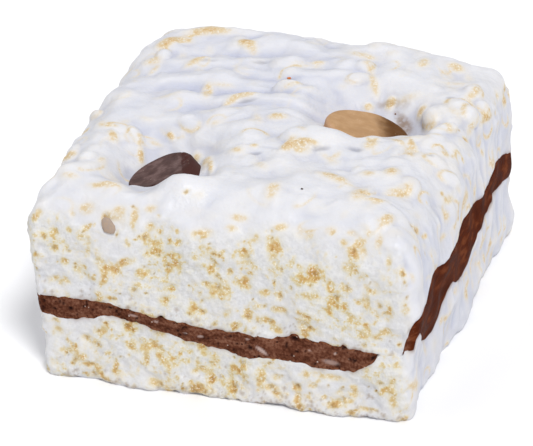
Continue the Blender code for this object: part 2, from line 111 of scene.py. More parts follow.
# Chocolate band: heights in mm of its edges at places round the block, 0 to 1 along the front and so on
BAND_TOP_MM = (
    (0.00, 19.9), (0.06, 20.3), (0.16, 20.4), (0.32, 18.2), (0.50, 16.8), (0.63, 16.3), (0.70, 17.2),
    (0.84, 16.5), (0.90, 16.3), (0.98, 17.6), (1.00, 20.4), (1.03, 24.4), (1.08, 25.4), (1.14, 28.0),
    (1.22, 27.2), (1.28, 26.1), (1.37, 25.7), (1.43, 25.0), (1.47, 27.4), (1.51, 27.4), (1.60, 25.5),
    (1.65, 24.5), (1.72, 24.1), (1.76, 25.4), (1.79, 27.0), (1.87, 24.4), (2.00, 20.5), (2.20, 19.5),
    (2.45, 18.3), (2.70, 19.6), (3.00, 18.8), (3.25, 19.8), (3.50, 18.6), (3.75, 19.8), (4.00, 19.9),
)
BAND_BOTTOM_MM = (
    (0.00, 15.7), (0.05, 15.2), (0.09, 15.2), (0.13, 16.0), (0.20, 17.3), (0.25, 16.2), (0.32, 15.1),
    (0.40, 13.6), (0.50, 11.9), (0.55, 11.0), (0.66, 12.0), (0.77, 10.6), (0.85, 11.2), (0.90, 13.8),
    (0.98, 16.2), (0.99, 17.4), (1.028, 16.9), (1.034, 19.8), (1.045, 20.4), (1.06, 19.4), (1.10, 16.0),
    (1.15, 12.8), (1.19, 11.2), (1.22, 11.4), (1.25, 13.2), (1.29, 15.6), (1.32, 17.0), (1.35, 17.6),
    (1.38, 16.1), (1.45, 14.4), (1.50, 14.6), (1.53, 17.6), (1.57, 19.4), (1.62, 19.2), (1.65, 20.2),
    (1.70, 20.4), (1.80, 19.2), (1.86, 18.3), (1.96, 16.0), (2.25, 14.6), (2.50, 14.0), (2.75, 15.0),
    (3.00, 14.4), (3.25, 15.2), (3.50, 13.8), (3.75, 15.4), (4.00, 15.7),
)
BAND_CORE_TOP = 0.0190
BAND_CORE_BOTTOM = 0.0145
COVERED_HEIGHT = 0.0162
BASE_INSET = 0.002
CHOCOLATE_BUTTON = {
    "diameter": 0.0150,
    "thickness": 0.0054,
    "rounding": 0.0006,
    "centre": (-0.0183, -0.0237, 0.0403),
    "lean_towards": (-0.995, -0.100),
    "lean": 22.0,
}
CARAMEL_BUTTON = {
    "diameter": 0.0190,
    "thickness": 0.0068,
    "rounding": 0.0014,
    "centre": (0.0183, 0.0020, 0.0411),
    "lean_towards": (0.831, 0.556),
    "lean": 17.5,
}
BUTTONS = (CHOCOLATE_BUTTON, CARAMEL_BUTTON)
HOLLOWS_MM = (TOP_FORMS_MM[0], TOP_FORMS_MM[3])
NOISE_SIZE = 32
SURFACE_STEPS = 7
SLOPE_STEP = 0.0001
LEAST_SLOPE_SQUARED = 0.25

# Mesh density of the visible surface, in cells
CELLS_X = 198
CELLS_Y = 210
TOP_ROWS = 61
BOTTOM_ROWS = 36
CHOCOLATE_ROWS = 22
SHARP_ANGLE = 65.0

# The block's sides as outline_places() counts them, and how soft the change from one to the next is
FRONT = 0
RIGHT = 1
LEFT = 3
SIDE_REACH = 0.53
SIDE_FADE = 0.06
CUT_RUNS_TO = 3.93
CUT_FADE = 0.03

# What is painted on the crispy layers besides the painted shade of their valleys and the painted light of their
# crests; the creases, the gaps and the pits get painted shade, and the pits' paint also marks dark crumbs
PAINTS = ("toast", "pit", "cocoa", "cut", "crease", "gap_shadow")
BOX_EASE = 0.0005
STEEP = 0.7
# Where a surface counts as the top, by the height of its normal
UPWARD_FROM = 0.30
UPWARD_FADE = 0.45

# Noise fields: size of a lump, or its sizes along X, Y and Z, and seed
NOISE = {
    "coat": (0.0115, 71),
    "coat detail": (0.0052, 72),
    "cell clusters": (0.0048, 81),
    "cell groups": (0.0022, 82),
    "long folds": ((0.0230, 0.0070, 0.0200), 101),
    "creases": ((0.0150, 0.0090, 0.0120), 102),
    "grain": (0.0026, 103),
    "fine grain": (0.0012, 104),
    "streaks": ((0.0021, 0.0021, 0.0120), 105),
    "fine streaks": ((0.0011, 0.0011, 0.0070), 106),
    "cut": (0.0019, 109),
    "fine cut": (0.0010, 110),
    "warp x": (0.0075, 111),
    "warp y": (0.0075, 112),
    "warp z": (0.0075, 113),
    "streaked lumps": (0.0040, 114),
    "broad": ((0.0120, 0.0090, 0.0080), 115),
    "small": (0.0044, 116),
    "corner": (0.0023, 117),
    "fine corner": (0.0011, 118),
    "crease patches": (0.0140, 119),
    "cocoa": (0.0035, 121),
    "fold bend": ((0.0300, 0.0190, 0.0300), 122),
    "fine fold bend": (0.0090, 123),
    "fold fading": ((0.0170, 0.0080, 0.0170), 124),
    "foot": (0.0034, 131),
    "fine foot": (0.0013, 132),
    "base": (0.0024, 133),
    "chocolate": (0.0042, 141),
    "cut chocolate": (0.0009, 142),
    "button": (0.0045, 161),
    "fine button": (0.0018, 162),
    "button end": (0.0016, 163),
    "broken rim": (0.0011, 164),
}
# Heights in metres of the relief that those fields make
COAT_RELIEF = {
    "long folds": 0.00036,
    "bent folds": 0.00044,
    "creases": 0.00030,
    "broad": 0.00066,
    "small": 0.00016,
    "grain": 0.00010,
    "fine grain": 0.00005,
    "cut": 0.00026,
    "fine cut": 0.00018,
    "streaks": 0.00027,
    "streaked lumps": 0.00030,
    "corner": 0.00055,
    "fine corner": 0.00030,
}
WARP = 0.0016
STREAK_WARP = 0.4
FOLD_SKEW = 0.45
FOLD_BENDING = {"fold bend": 0.95, "fine fold bend": 0.22}
FOLD_FADING = (0.5, 1.4)
EVEN_FOLDS_TAKEN = 0.6
CREASE_WIDTH = 0.14
CREASE_PATCHES = (0.4, 1.6)
BROAD_BY_THINNESS = (0.35, 1.0)
FINE_STREAKS = 0.6
# Painted shade of the creases: where the valleys of the folds and of the streaks lie, and how much shade each
# gets
VALLEY_FROM = 0.12
VALLEY_OF_FOLDS = 0.8
VALLEY_OF_LONG_FOLDS = 0.35
STREAK_VALLEYS = (0.15, -0.95)
CREASE_IN_FOLDS = (0.24, 0.52)
CREASE_IN_STREAKS = (0.17, 0.39)
CUT_BY_THINNESS = (0.35, 1.0)
CORNER_REACH = 0.05

# Corrections of the sides: the right side is drawn in towards its back corner, and the foot of the front swells
RIGHT_BACK_DRAW = 0.0008
RIGHT_BACK_FROM = 1.5
RIGHT_BACK_FADE = 0.3
FOOT_SPREAD = 0.0014
FOOT_X = -0.006
FOOT_REACH = 0.015
FOOT_HEIGHT = 0.0055
FOOT_RAGGED = {"foot": 0.0007, "fine foot": 0.0005}
FOOT_MIDDLE = 0.0004
FOOT_LOWEST = 0.00005
BASE_RAGGED = 0.30
FOOT_ROUNDING = 0.0004
FOOT_ROUNDING_HEIGHT = 0.0008
# How the chocolate band shows: where it thins out to a tip near the front right corner, its uneven
# edges as (size of one tooth, its height), how deep it lies, and how far it runs on behind the crispy layers
TIP_FROM = 0.895
TIP_TO = 0.932
TIP_FULLNESS = 1.05
TIP_END = 0.991
TIP_END_FADE = 0.012
CUT_EDGE_TEETH = ((0.0026, 0.00030), (0.0012, 0.00030), (0.0007, 0.00014))
SMOOTH_EDGE_TEETH = ((0.0050, 0.00030), (0.0021, 0.00024), (0.0010, 0.00014))
CHOCOLATE_DEPTH = 0.00012
COVERED_DEPTH = 0.0016
CHOCOLATE_OVERLAP = 0.0006
CHOCOLATE_RECESS = 0.0003
COVERED_FROM = 0.6
COVERED_FADE = 0.3
SUNK_EDGE = 0.0005
CHOCOLATE_RELIEF = 0.00010
CUT_CHOCOLATE_RELIEF = 0.00005
LIP_RECESS = 0.00022
LIP_HEIGHT = 0.0006
EDGE_FADE = 0.0012
CORE_INSET = 0.004
EDGE_INSETS = ((0.0006, 0.0001), (CORE_INSET, 0.0004))
COCOA_STRENGTH = 0.75
COCOA_REACH = 0.0005
COCOA_PATCHES = (0.5, 1.4)
BAND_TOP_SEED = 11
BAND_BOTTOM_SEED = 21
SMOOTH_SEED_STEP = 5
# Pores of the cut chocolate, sunk and painted dark as shade: draws, seed, radius and depth; then the depth of
# the listed pits
PORE_DRAWS = 260
PORE_SEED = 151
PORE_RADIUS = (0.0002, 0.0004)
PORE_DEPTH = (0.0001, 0.0004)
PIT_DEPTH = 0.0004
# Bubbles in the band's upper edge in mm: x along the front and radius. Pits, sunk and painted dark as shade in
# them, and
# pale flecks on its front: x, z, half length and half width, and for the flecks also the turn in degrees and
# the strength
BUBBLE_RISE = 0.7
BUBBLES_MM = ((15.6, 1.15), (26.6, 0.75), (-13.4, 0.7), (7.6, 0.5), (-24.6, 0.5), (21.6, 0.6))
CHOCOLATE_PITS_MM = (
    (-33.8, 17.8, 0.55, 0.45), (5.9, 13.4, 0.60, 0.40), (28.8, 14.0, 0.50, 0.40), (-24.8, 19.2, 0.40, 0.30),
    (-13.4, 18.6, 0.45, 0.35), (15.6, 16.9, 0.80, 0.45), (16.2, 14.0, 0.30, 0.30), (26.6, 16.6, 0.50, 0.35),
    (-37.5, 17.2, 0.35, 0.30), (20.0, 11.6, 0.35, 0.25), (1.5, 15.5, 0.30, 0.25), (-8.0, 16.9, 0.30, 0.22),
)
PALE_FLECKS_MM = (
    (8.5, 13.3, 1.40, 0.42, -32, 1.0), (-4.9, 14.9, 0.60, 0.35, 0, 0.7), (-19.6, 18.1, 0.90, 0.30, -10, 0.6),
    (-14.6, 17.2, 0.55, 0.28, -10, 0.7), (23.6, 12.6, 1.70, 0.55, -5, 0.55), (24.6, 14.9, 0.30, 0.30, 0, 1.0),
    (5.4, 15.6, 0.35, 0.25, 0, 0.8), (-8.2, 15.3, 0.40, 0.25, 0, 0.6), (19.0, 14.6, 0.25, 0.22, 0, 0.8),
)
# The coat's edge where it laps over a button
LAP_REACH = 0.0004
LAP_FADE = 0.0012
LAP_THICKNESS = 0.0005
LAP_SHARPNESS = 0.00035
LAP_HEIGHT = 0.0030

# Buttons: mesh, unevenness, and the groove and wider foot where the brown one's rim is chipped
BUTTON_SEGMENTS = 96
ROUNDING_STEPS = 8
FACE_RINGS = 24
FACE_EDGE = 0.97
DISH_FADE = 0.25
BUTTON_WOBBLE = 0.00012
FINE_WOBBLE = 0.5
END_UNEVENNESS = 0.0005
WALL_FROM = 0.4
WALL_FADE = 0.0002
RIM_SHARE = 0.6
RIM_RADIUS = 0.965
RIM_WIDTH = 0.035
BROKEN_GROOVE = 0.00030
BROKEN_RELIEF = 0.00022
GROOVE_WIDTH = 0.35
FLARE = 0.0014
FLARE_FROM = 0.003
FLARE_FADE = 0.0045

# Camera, fitted to the block's corners in the photograph
CAMERA_FOCAL_PX = 3319.1
CAMERA_SHIFT_PX = (18.39, -9.28)
CAMERA_DISTANCE = 0.7269
CAMERA_AZIMUTH = 19.42
CAMERA_ELEVATION = 28.70
CAMERA_ROLL = -2.778
CAMERA_TARGET_HEIGHT = 0.02189
SENSOR_WIDTH = 36.0

# Puffed rice below the marshmallow coat: spacing, half length, half width and swelling of the coat
GRAIN_SPACING = 0.0036
GRAIN_HALF_LENGTH = (0.0024, 0.0040)
GRAIN_HALF_WIDTH = (0.0015, 0.0024)
GRAIN_SWELL = (0.00040, 0.00150)
BARE_SHARE = 0.16
GRAIN_DRAWS = 16000
GRAIN_SEED = 41
BOTTOM_GRAIN_SEED = 42
CELL_SEED = 51
BOTTOM_CELL_SEED = 52
GRAIN_DEPTH_SCALE = 0.0025
# Pairs here and below are the value where something is 0 and where it is 1: the coat's thinness, the share of
# the top, the share of the streaked sides
SWELL_BY_THINNESS = (0.04, 0.46)
SWELL_BY_TOP = (0.15, 1.0)
GRAIN_TINT = (0.15, 0.55)
TINT_BY_THINNESS = (0.4, 1.0)
TINT_BY_STREAKS = (1.0, 1.5)
TINTED_ON_STREAKS = 1.2
TINTED_BY_THINNESS = (0.15, 1.0)
TINT_SHARES = (0.34, 0.42, 0.50)
STREAK_ALIGNMENT = 0.9
FAINT_SIZE = 0.75
FAINT_STRENGTH = 0.35
ARC_STRENGTH = 1.1
OPEN_PART = (0.35, 0.60)
OPEN_SHIFT = 0.4
# Profiles of a golden spot, of an arc and of a round spot, in radii of the spot
CORE_EDGE = 1.40
CORE_FADE = 1.20
CORE_STRENGTH = 0.66
HALO_EDGE = 2.2
HALO_FADE = 1.6
HALO_STRENGTH = 0.18
ARC_EDGE = 1.3
ARC_RADIUS = 0.85
ARC_WIDTH = 0.20
ARC_SPAN = (0.45, 1.25)
SPOT_EDGE = 1.5
SPOT_FADE = 1.1
OVAL_EDGE = 1.4
OVAL_FADE = 0.8
# The coat over the grains: how thick it is, and how much thicker in the hollows, on the folds and the roll
COAT_AVERAGE = 0.52
COAT_SPREAD = {"coat": 0.55, "coat detail": 0.30}
COAT_IN_HOLLOWS = 0.55
HOLLOW_REACH = 1.15
COAT_ON_FOLDS = 0.25
COAT_ON_ROLL = 0.22
ROLL_FROM = 0.035
ROLL_FADE = 0.004
COAT_ROUNDNESS = 1.4
BARE_ROUNDNESS = 0.7

# Cells of the cut faces: draws for each point of the mesh, half width, how golden, how deep they are sunk, and
# how deep and golden a cell has to be for a pit painted dark as shade
CELL_DRAWS = 0.075
CELL_HALF_WIDTH = (0.00030, 0.00095)
CELL_STRENGTH = (0.25, 0.90)
CELL_DEPTH = (0.00005, 0.00050)
CELL_LENGTH = (1.0, 1.8)
CELL_WIDTH_BIAS = 1.8
CELL_STRENGTH_BIAS = 1.2
CELL_GROUPING = 0.6
CELL_CLUSTERING = (0.52, 1.27)
CELLS_BY_CLUSTER = (0.10, 1.0)
CELLS_BY_THINNESS = (0.35, 1.0)
PIT_FROM = (0.55, 0.45)
PIT_SIZE = 0.4
PIT_LEAST = 0.00012
PIT_STRENGTH = 0.85
# Dark specks of the cut faces: radius and strength
SPECK_TRIES = 40
SPECK_RADIUS = (0.00018, 0.00048)
SPECK_STRENGTH = (0.45, 0.85)
SPECK_DEPTH = 0.0001
SPECKS_ABOVE_BAND = {"reach": 0.0014, "count": 260, "seed": 181}
SPECKS_AT_FOOT = {"reach": 0.0018, "count": 420, "seed": 182}

# Large grains seen in the photograph: (x, y) in mm, half length, half width, swelling in mm, turn in degrees,
# and the direction in degrees in which the golden arc at its edge lies
BIG_GRAIN_ARC = 0.50
BIG_GRAINS_MM = (
    (6.8, -9.0, 3.3, 2.8, 1.4, 0.0, 110.0),
    (22.2, -5.0, 1.5, 2.2, 0.6, 0.0, 250.0),
    (30.5, 10.8, 2.8, 2.8, 1.4, 0.0, 150.0),
    (35.0, 17.5, 3.2, 2.8, 1.1, 30.0, 130.0),
    (40.0, 15.0, 3.0, 3.0, 1.4, 0.0, 330.0),
    (34.0, 5.0, 2.8, 2.0, 1.1, 40.0, 90.0),
    (36.5, 25.0, 3.0, 2.2, 0.8, 120.0, 60.0),
    (-3.0, -9.5, 3.2, 2.6, 0.6, 20.0, 100.0),
)

# Planes that places in the photograph are given in: their two axes, and their level on the third
PLANE_AXES = {"top": (0, 1), "front": (0, 2), "right": (1, 2)}
PLANE_LEVEL = {"top": 0.044, "front": -0.043, "right": 0.0415}
# Golden patches seen in the photograph, in mm: where the line of sight meets the plane, then half length, half
# width, turn in degrees and strength
PATCHES_MM = {}
PATCHES_MM["top"] = (
    (-37.5, 32.5, 2.6, 1.2, 65, 0.80), (-31.5, 39.5, 2.2, 1.2, 30, 0.65), (-28.0, 40.8, 2.4, 1.0, 0, 0.60),
    (-20.0, 36.5, 1.5, 1.0, -10, 0.95), (-17.5, 33.0, 1.8, 0.9, -60, 0.45), (-34.0, 34.0, 1.6, 1.0, 0, 0.45),
    (-28.0, 25.0, 2.4, 0.8, 55, 0.55), (-38.0, 23.0, 1.6, 1.3, 30, 0.55), (-35.8, 18.5, 1.6, 0.6, 80, 0.50),
    (-20.6, 11.0, 2.6, 0.9, -75, 0.65), (-11.8, 11.8, 1.9, 0.9, 25, 0.65), (-13.8, 7.5, 2.0, 0.8, 65, 0.50),
    (-18.0, 14.2, 1.8, 0.7, 0, 0.40), (-1.6, 3.0, 1.5, 0.9, 10, 0.75), (-5.5, 1.0, 1.8, 0.7, -60, 0.35),
    (8.0, -7.2, 1.9, 0.7, 0, 0.85), (5.0, -9.8, 1.7, 0.8, 70, 0.80), (7.5, -10.4, 1.8, 1.2, 0, 0.55),
    (-2.2, -11.3, 0.7, 0.6, 0, 0.65), (-5.2, -14.0, 1.2, 0.9, 0, 0.50), (-12.0, -20.0, 2.2, 0.9, -70, 0.55),
    (21.8, -4.5, 1.0, 1.9, 0, 0.60), (26.8, -2.0, 1.8, 0.6, -35, 0.65), (30.8, -4.0, 1.6, 0.6, -55, 0.75),
    (31.0, -7.5, 1.9, 0.7, -65, 0.60), (28.4, 12.2, 0.9, 1.5, 0, 0.72), (31.8, 8.6, 1.2, 1.8, 0, 0.35),
    (37.0, 23.5, 0.6, 1.9, -10, 0.60), (22.0, 35.0, 1.0, 2.0, 0, 0.50), (30.0, 33.3, 1.4, 1.1, 0, 0.65),
    (8.0, 35.5, 2.4, 1.0, 0, 0.48), (14.4, 22.5, 2.6, 0.7, -65, 0.55), (11.0, 30.0, 2.4, 0.8, -65, 0.40),
    (-1.2, 31.5, 1.0, 1.0, 0, 0.50), (31.5, 26.5, 2.0, 0.7, 20, 0.30), (20.6, 14.3, 0.8, 1.2, 0, 0.90),
    (16.4, 11.5, 0.8, 0.7, 0, 0.70), (23.5, 17.5, 2.4, 1.0, 20, 0.35), (29.6, -15.5, 1.2, 1.4, 0, 0.70),
    (18.5, -21.0, 3.0, 1.1, -22, 0.62), (25.0, -17.8, 1.3, 0.9, 0, 0.50), (26.0, -26.5, 1.4, 2.2, 0, 0.55),
    (7.8, -29.0, 1.1, 2.2, 0, 0.55), (2.0, -19.5, 1.8, 1.0, -40, 0.35), (-37.6, -29.0, 1.5, 1.2, 0, 0.75),
    (-33.2, -14.5, 1.6, 0.7, -55, 0.72), (-36.5, -10.0, 1.3, 0.7, 0, 0.40), (-21.2, -11.0, 1.0, 0.4, -55, 0.95),
    (-24.4, -21.5, 1.8, 0.5, -60, 0.75), (-9.6, -20.8, 2.2, 0.8, -75, 0.62), (-8.1, -22.2, 1.9, 0.4, -70, 0.80),
    (16.2, -12.5, 1.6, 0.7, 70, 0.42), (34.5, -35.5, 0.9, 1.6, -20, 0.70), (40.5, 8.0, 2.2, 0.7, -65, 0.40),
    (41.5, 14.0, 2.4, 0.7, -65, 0.40), (35.0, 14.5, 1.8, 0.8, -40, 0.28), (38.0, 17.0, 1.4, 0.6, -50, 0.42),
    (-35.5, -34.0, 1.6, 0.7, 0, 0.45), (-27.5, -34.8, 2.6, 0.8, 5, 0.50), (-28.5, 8.0, 2.6, 0.8, 10, 0.30),
    (34.5, -24.0, 1.4, 2.0, 0, 0.35), (30.5, -29.0, 0.9, 1.8, -20, 0.35),
)
PATCHES_MM["front"] = (
    (-36.3, 35.8, 0.9, 0.8, 0, 0.90), (-29.5, 35.5, 1.4, 0.8, 0, 0.55), (-28.5, 42.5, 1.8, 1.3, 20, 0.60),
    (-22.5, 41.5, 2.2, 1.2, 0, 0.50), (-17.8, 42.0, 0.8, 1.9, 0, 0.75), (-14.4, 40.0, 0.8, 0.8, 0, 0.80),
    (-15.5, 36.5, 0.7, 1.8, 0, 0.70), (-13.5, 34.5, 1.6, 1.0, 40, 0.60), (-4.0, 39.5, 1.3, 0.8, 0, 0.65),
    (5.8, 36.3, 1.0, 1.0, 0, 0.80), (6.5, 34.2, 1.6, 1.2, 0, 0.50), (12.6, 39.0, 1.6, 1.8, 0, 0.65),
    (11.8, 36.0, 0.9, 1.4, 0, 0.50), (17.7, 31.8, 1.0, 0.8, 0, 1.00), (20.6, 33.0, 2.2, 1.5, 10, 0.62),
    (24.4, 30.8, 0.9, 1.2, 0, 0.85), (29.6, 39.0, 1.1, 1.0, 0, 0.75), (28.6, 36.0, 1.8, 1.2, 30, 0.50),
    (-25.6, 28.2, 1.2, 1.4, 0, 0.95), (-23.2, 28.2, 1.0, 1.2, 30, 1.00), (-21.6, 30.2, 1.2, 0.7, 40, 0.80),
    (-25.8, 25.9, 0.7, 0.8, 0, 0.85), (-34.5, 29.0, 0.9, 0.9, 0, 0.90), (-31.2, 28.0, 1.0, 1.8, 0, 0.50),
    (-16.2, 28.8, 1.1, 0.7, 0, 0.75), (-9.0, 31.8, 0.9, 1.3, 0, 0.85), (-1.2, 32.3, 0.7, 1.6, 0, 0.70),
    (-2.8, 27.8, 1.1, 0.7, 0, 1.00), (6.0, 28.8, 1.1, 1.0, 0, 0.85), (1.2, 27.0, 1.0, 2.0, 0, 0.62),
    (9.8, 27.6, 1.4, 0.7, 10, 0.80), (-12.4, 22.8, 1.0, 0.7, 0, 0.80), (-11.0, 25.8, 1.2, 0.7, 30, 0.70),
    (-5.8, 21.3, 1.4, 0.9, 0, 0.85), (6.0, 22.3, 0.8, 0.8, 0, 0.75), (17.9, 21.0, 1.2, 0.8, 20, 0.90),
    (17.5, 23.3, 0.9, 0.9, 0, 0.60), (19.2, 28.0, 1.8, 0.8, 0, 0.75), (24.5, 27.0, 1.6, 0.9, -20, 0.80),
    (27.2, 26.2, 0.8, 1.1, 0, 0.90), (28.7, 24.2, 0.9, 0.8, 0, 0.90), (31.8, 28.5, 0.9, 2.4, 0, 0.60),
    (35.8, 21.8, 1.1, 0.9, 0, 0.95), (36.8, 27.0, 0.5, 1.7, 0, 0.80), (3.0, 18.8, 1.2, 0.6, 0, 0.70),
    (-37.5, 24.3, 1.0, 0.7, 0, 0.55), (-26.8, 21.8, 0.7, 1.0, 30, 0.80), (23.5, 25.2, 1.0, 0.9, 0, 0.75),
    (13.5, 23.5, 1.2, 0.7, -30, 0.65), (32.0, 21.5, 0.7, 1.4, 0, 0.65), (12.5, 19.0, 1.0, 0.7, 0, 0.70),
    (-30.6, 4.3, 1.5, 0.6, 0, 0.95), (-35.2, 7.0, 1.6, 0.6, 10, 0.70), (-27.2, 13.0, 1.3, 0.7, 40, 0.65),
    (-17.6, 7.5, 0.8, 1.2, 0, 0.75), (-12.0, 6.8, 1.5, 0.8, 0, 0.65), (-37.2, 12.0, 1.2, 1.2, 0, 0.60),
    (-24.6, 4.5, 0.6, 1.6, 0, 0.70), (2.2, 8.0, 1.1, 1.0, 0, 0.60), (11.6, 7.4, 1.1, 0.8, 0, 0.60),
    (7.8, 5.0, 0.7, 1.1, 0, 0.75), (16.0, 2.8, 0.7, 1.4, 0, 0.90), (19.4, 6.4, 1.1, 0.7, 20, 0.70),
    (24.0, 9.0, 3.0, 0.8, 0, 0.50), (28.6, 6.0, 0.8, 1.0, 0, 0.75), (25.0, 3.0, 1.6, 0.9, 20, 0.80),
    (36.8, 5.0, 1.0, 1.8, 0, 0.80), (31.5, 2.4, 1.8, 0.5, 0, 0.85), (-15.5, 2.5, 1.6, 1.2, 0, 0.75),
    (-6.4, 2.0, 1.4, 0.9, 0, 0.65), (-1.8, 9.5, 0.9, 1.5, 0, 0.55), (36.8, 9.5, 0.8, 1.6, 0, 0.60),
    (5.2, 44.6, 1.8, 0.9, 0, 0.58), (14.3, 43.8, 1.3, 0.8, 20, 0.60), (3.3, 42.0, 1.3, 0.7, 0, 0.58),
    (19.3, 42.6, 2.2, 1.2, 0, 0.42), (27.6, 41.8, 0.8, 0.7, 0, 0.70), (35.0, 43.0, 0.8, 1.4, 0, 0.66),
    (-2.3, 40.2, 1.6, 0.9, 0, 0.52), (-14.0, 44.3, 1.4, 0.9, 20, 0.56), (-20.8, 43.2, 1.4, 0.9, 0, 0.48),
    (24.9, 44.2, 1.3, 0.9, 0, 0.50), (37.0, 38.5, 0.6, 1.4, 0, 0.60), (8.6, 40.2, 1.0, 1.0, 0, 0.58),
)
PATCHES_MM["right"] = (
    (-14.5, 38.5, 1.6, 0.8, -20, 0.60), (-19.5, 32.0, 2.0, 0.7, -15, 0.50), (-1.0, 32.0, 1.8, 1.8, 0, 0.65),
    (6.2, 29.2, 0.8, 1.3, 0, 0.60), (17.5, 41.5, 2.6, 0.8, -15, 0.55), (21.5, 28.4, 1.4, 0.7, -20, 0.50),
    (-11.0, 30.2, 1.0, 0.6, 0, 0.40), (14.0, 13.2, 2.0, 0.9, -20, 0.60), (-1.2, 10.8, 1.2, 0.7, 0, 0.65),
    (-9.5, 13.6, 1.2, 0.8, 0, 0.50), (-16.8, 11.6, 1.2, 0.7, 0, 0.45), (-41.5, 9.0, 1.2, 1.0, -20, 0.70),
    (20.6, 8.2, 1.0, 0.7, 0, 0.50), (33.0, 6.2, 1.4, 0.8, 0, 0.45), (28.5, 34.5, 1.4, 0.6, -20, 0.35),
    (-34.8, 14.0, 0.8, 1.8, 20, 0.45), (8.0, 10.6, 2.0, 0.5, -20, 0.35),
)
# Places where the coat lies lower, or higher below 0, in mm: x, y, reach, depth
COAT_DIPS_MM = (
    (-9.4, -27.5, 6.0, 1.9), (-26.4, -23.6, 5.0, 1.4), (-25.2, -27.6, 3.6, 0.5), (11.6, -3.2, 3.6, 0.5),
    (25.2, -1.9, 4.0, 0.6), (-40.5, 42.0, 9.0, 2.0), (-41.5, 2.0, 14.0, -0.7), (-43.0, -25.0, 17.0, -2.3),
    (-43.0, -34.0, 8.0, -1.1), (29.0, 44.0, 13.0, -1.8), (10.0, 43.0, 9.0, 0.9), (-27.0, -21.5, 3.0, 0.5),
)
# Small gaps between grains of the top, sunk and painted dark as shadow, in mm: place as for the patches, half
# length, half width, turn
GAPS_MM = (
    (12.0, -9.2, 1.6, 0.6, 20), (19.4, -8.0, 1.5, 0.6, -10), (-0.9, -14.6, 1.2, 0.4, 20),
    (35.2, -6.8, 1.0, 0.5, -30), (-26.5, 25.4, 2.4, 0.5, 10), (-13.6, 28.0, 1.8, 0.5, 10),
    (32.5, 20.0, 0.9, 0.5, 40), (-10.5, 8.6, 1.8, 0.4, 20),
)
# How a line of sight is followed to the surface: from this far before its plane, by a share of the distance
SIGHT_START = 0.012
SIGHT_STEPS = 60
SIGHT_STEP_SHARE = 0.7
PATCH_REACH = 0.0015
PATCH_DEPTH = 0.00035
PATCH_SWELL = 0.00075
PATCH_GRAIN_SCALE = 1.2
PATCH_GRAIN_RIM = 0.0003
PATCH_SCALE = {"top": 1.42, "front": 1.14, "right": 1.25}
PATCH_STRENGTH = {"top": 0.94, "front": 0.88, "right": 0.90}
GAP_DEPTH = 0.0002
GAP_REACH = 2.2
GAP_EDGE = 1.8
GAP_FADE = 1.6
# Crumbs and specks on the coat, in mm: plane, place in it as for the patches, half length, half width, half
# height, shade from 0, dark brown, over 0.5, orange, to 1, greyish tan, and turn in degrees
FLECKS_MM = (
    ("front", -24.0, 38.1, 1.90, 1.55, 0.34, 1.0, 50),
    ("top", -5.3, 22.4, 0.85, 0.34, 0.22, 0.50, -30),
    ("top", 13.2, -26.5, 0.28, 0.20, 0.12, 0.00, 0),
    ("top", 22.4, 10.9, 0.22, 0.16, 0.10, 0.25, 0),
)
SIGHT_WIDTH = 0.0005
FLECK_LIFT = 0.6
FLECK_LUMPS = 0.8
FLECK_SEED = 171
FLECK_UNEVENNESS = 0.36
FLECK_SEGMENTS = 12
FLECK_HEIGHTS = (-0.8, -0.4, 0.0, 0.4, 0.8)
# The coat keeps its plain form next to a button, and no grain stands there
BUTTON_CALM = 0.0028
CALM_RELIEF = (0.12, 1.0)
BUTTON_CLEARANCE = 0.0018
# Chocolate smeared on the coat behind the tan button, with painted shade where it lies beside the button's
# right end, in mm: place on the top's plane, radius, strength
SMEAR_AND_SHADE_MM = (
    (18.6, 13.4, 1.3, 0.40), (20.0, 14.2, 1.5, 0.52), (21.8, 14.7, 1.8, 0.36), (23.8, 15.0, 2.0, 0.20),
    (23.0, 10.6, 1.2, 0.30), (24.2, 8.8, 1.8, 0.42), (25.2, 7.2, 2.2, 0.50), (26.2, 5.6, 2.5, 0.58),
    (27.2, 4.0, 2.5, 0.52), (28.2, 2.4, 2.0, 0.36),
)
# Painted shade and light over the white of the coat: painted shade in creases, valleys and gaps, a painted
# highlight on crests; what each is painted for, strength, colour
COAT_SHADES = (
    ("crease", 0.85, (163, 170, 199)),
    ("valley_shade", 0.36, (162, 166, 190)),
    ("crest_highlight", 0.45, (226, 225, 227)),
    ("gap_shadow", 0.62, (140, 140, 150)),
)
# Colours of the two buttons: from dark to light, side wall, rim and far end, and how rough they are; the tan
# button's dark far end is painted shade, the brown one's is the colour of its chipped end
BROWN_CANDY = {
    "shades": ((72, 51, 48), (91, 69, 66), (113, 91, 88)),
    "wall_colour": (74, 46, 42),
    "rim_colour": (58, 40, 37),
    "far_colour": (76, 46, 42),
    "roughness": 0.50,
}
TAN_CANDY = {
    "shades": ((175, 137, 97), (183, 145, 105), (191, 154, 116)),
    "wall_colour": (176, 130, 96),
    "rim_colour": (198, 158, 128),
    "far_colour": (94, 58, 18),
    "roughness": 0.42,
}
FLOOR_HALF = 1.2
# Painted shade of the valleys and painted light of the crests: rounds of smoothing, and the depth at which they
# are full
VALLEY_ROUNDS = 26
VALLEY_DEPTH = 0.00032


def block_shift():
    """From the design's middle to the frame's origin, read from a button that is symmetric about its centre."""
    low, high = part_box("chocolate_button")
    middle = [0.5 * (low[axis] + high[axis]) for axis in range(3)]
    return np.array(middle) - np.array(CHOCOLATE_BUTTON["centre"])


def smooth_step(value):
    clipped = np.clip(value, 0.0, 1.0)
    return clipped * clipped * (3.0 - 2.0 * clipped)


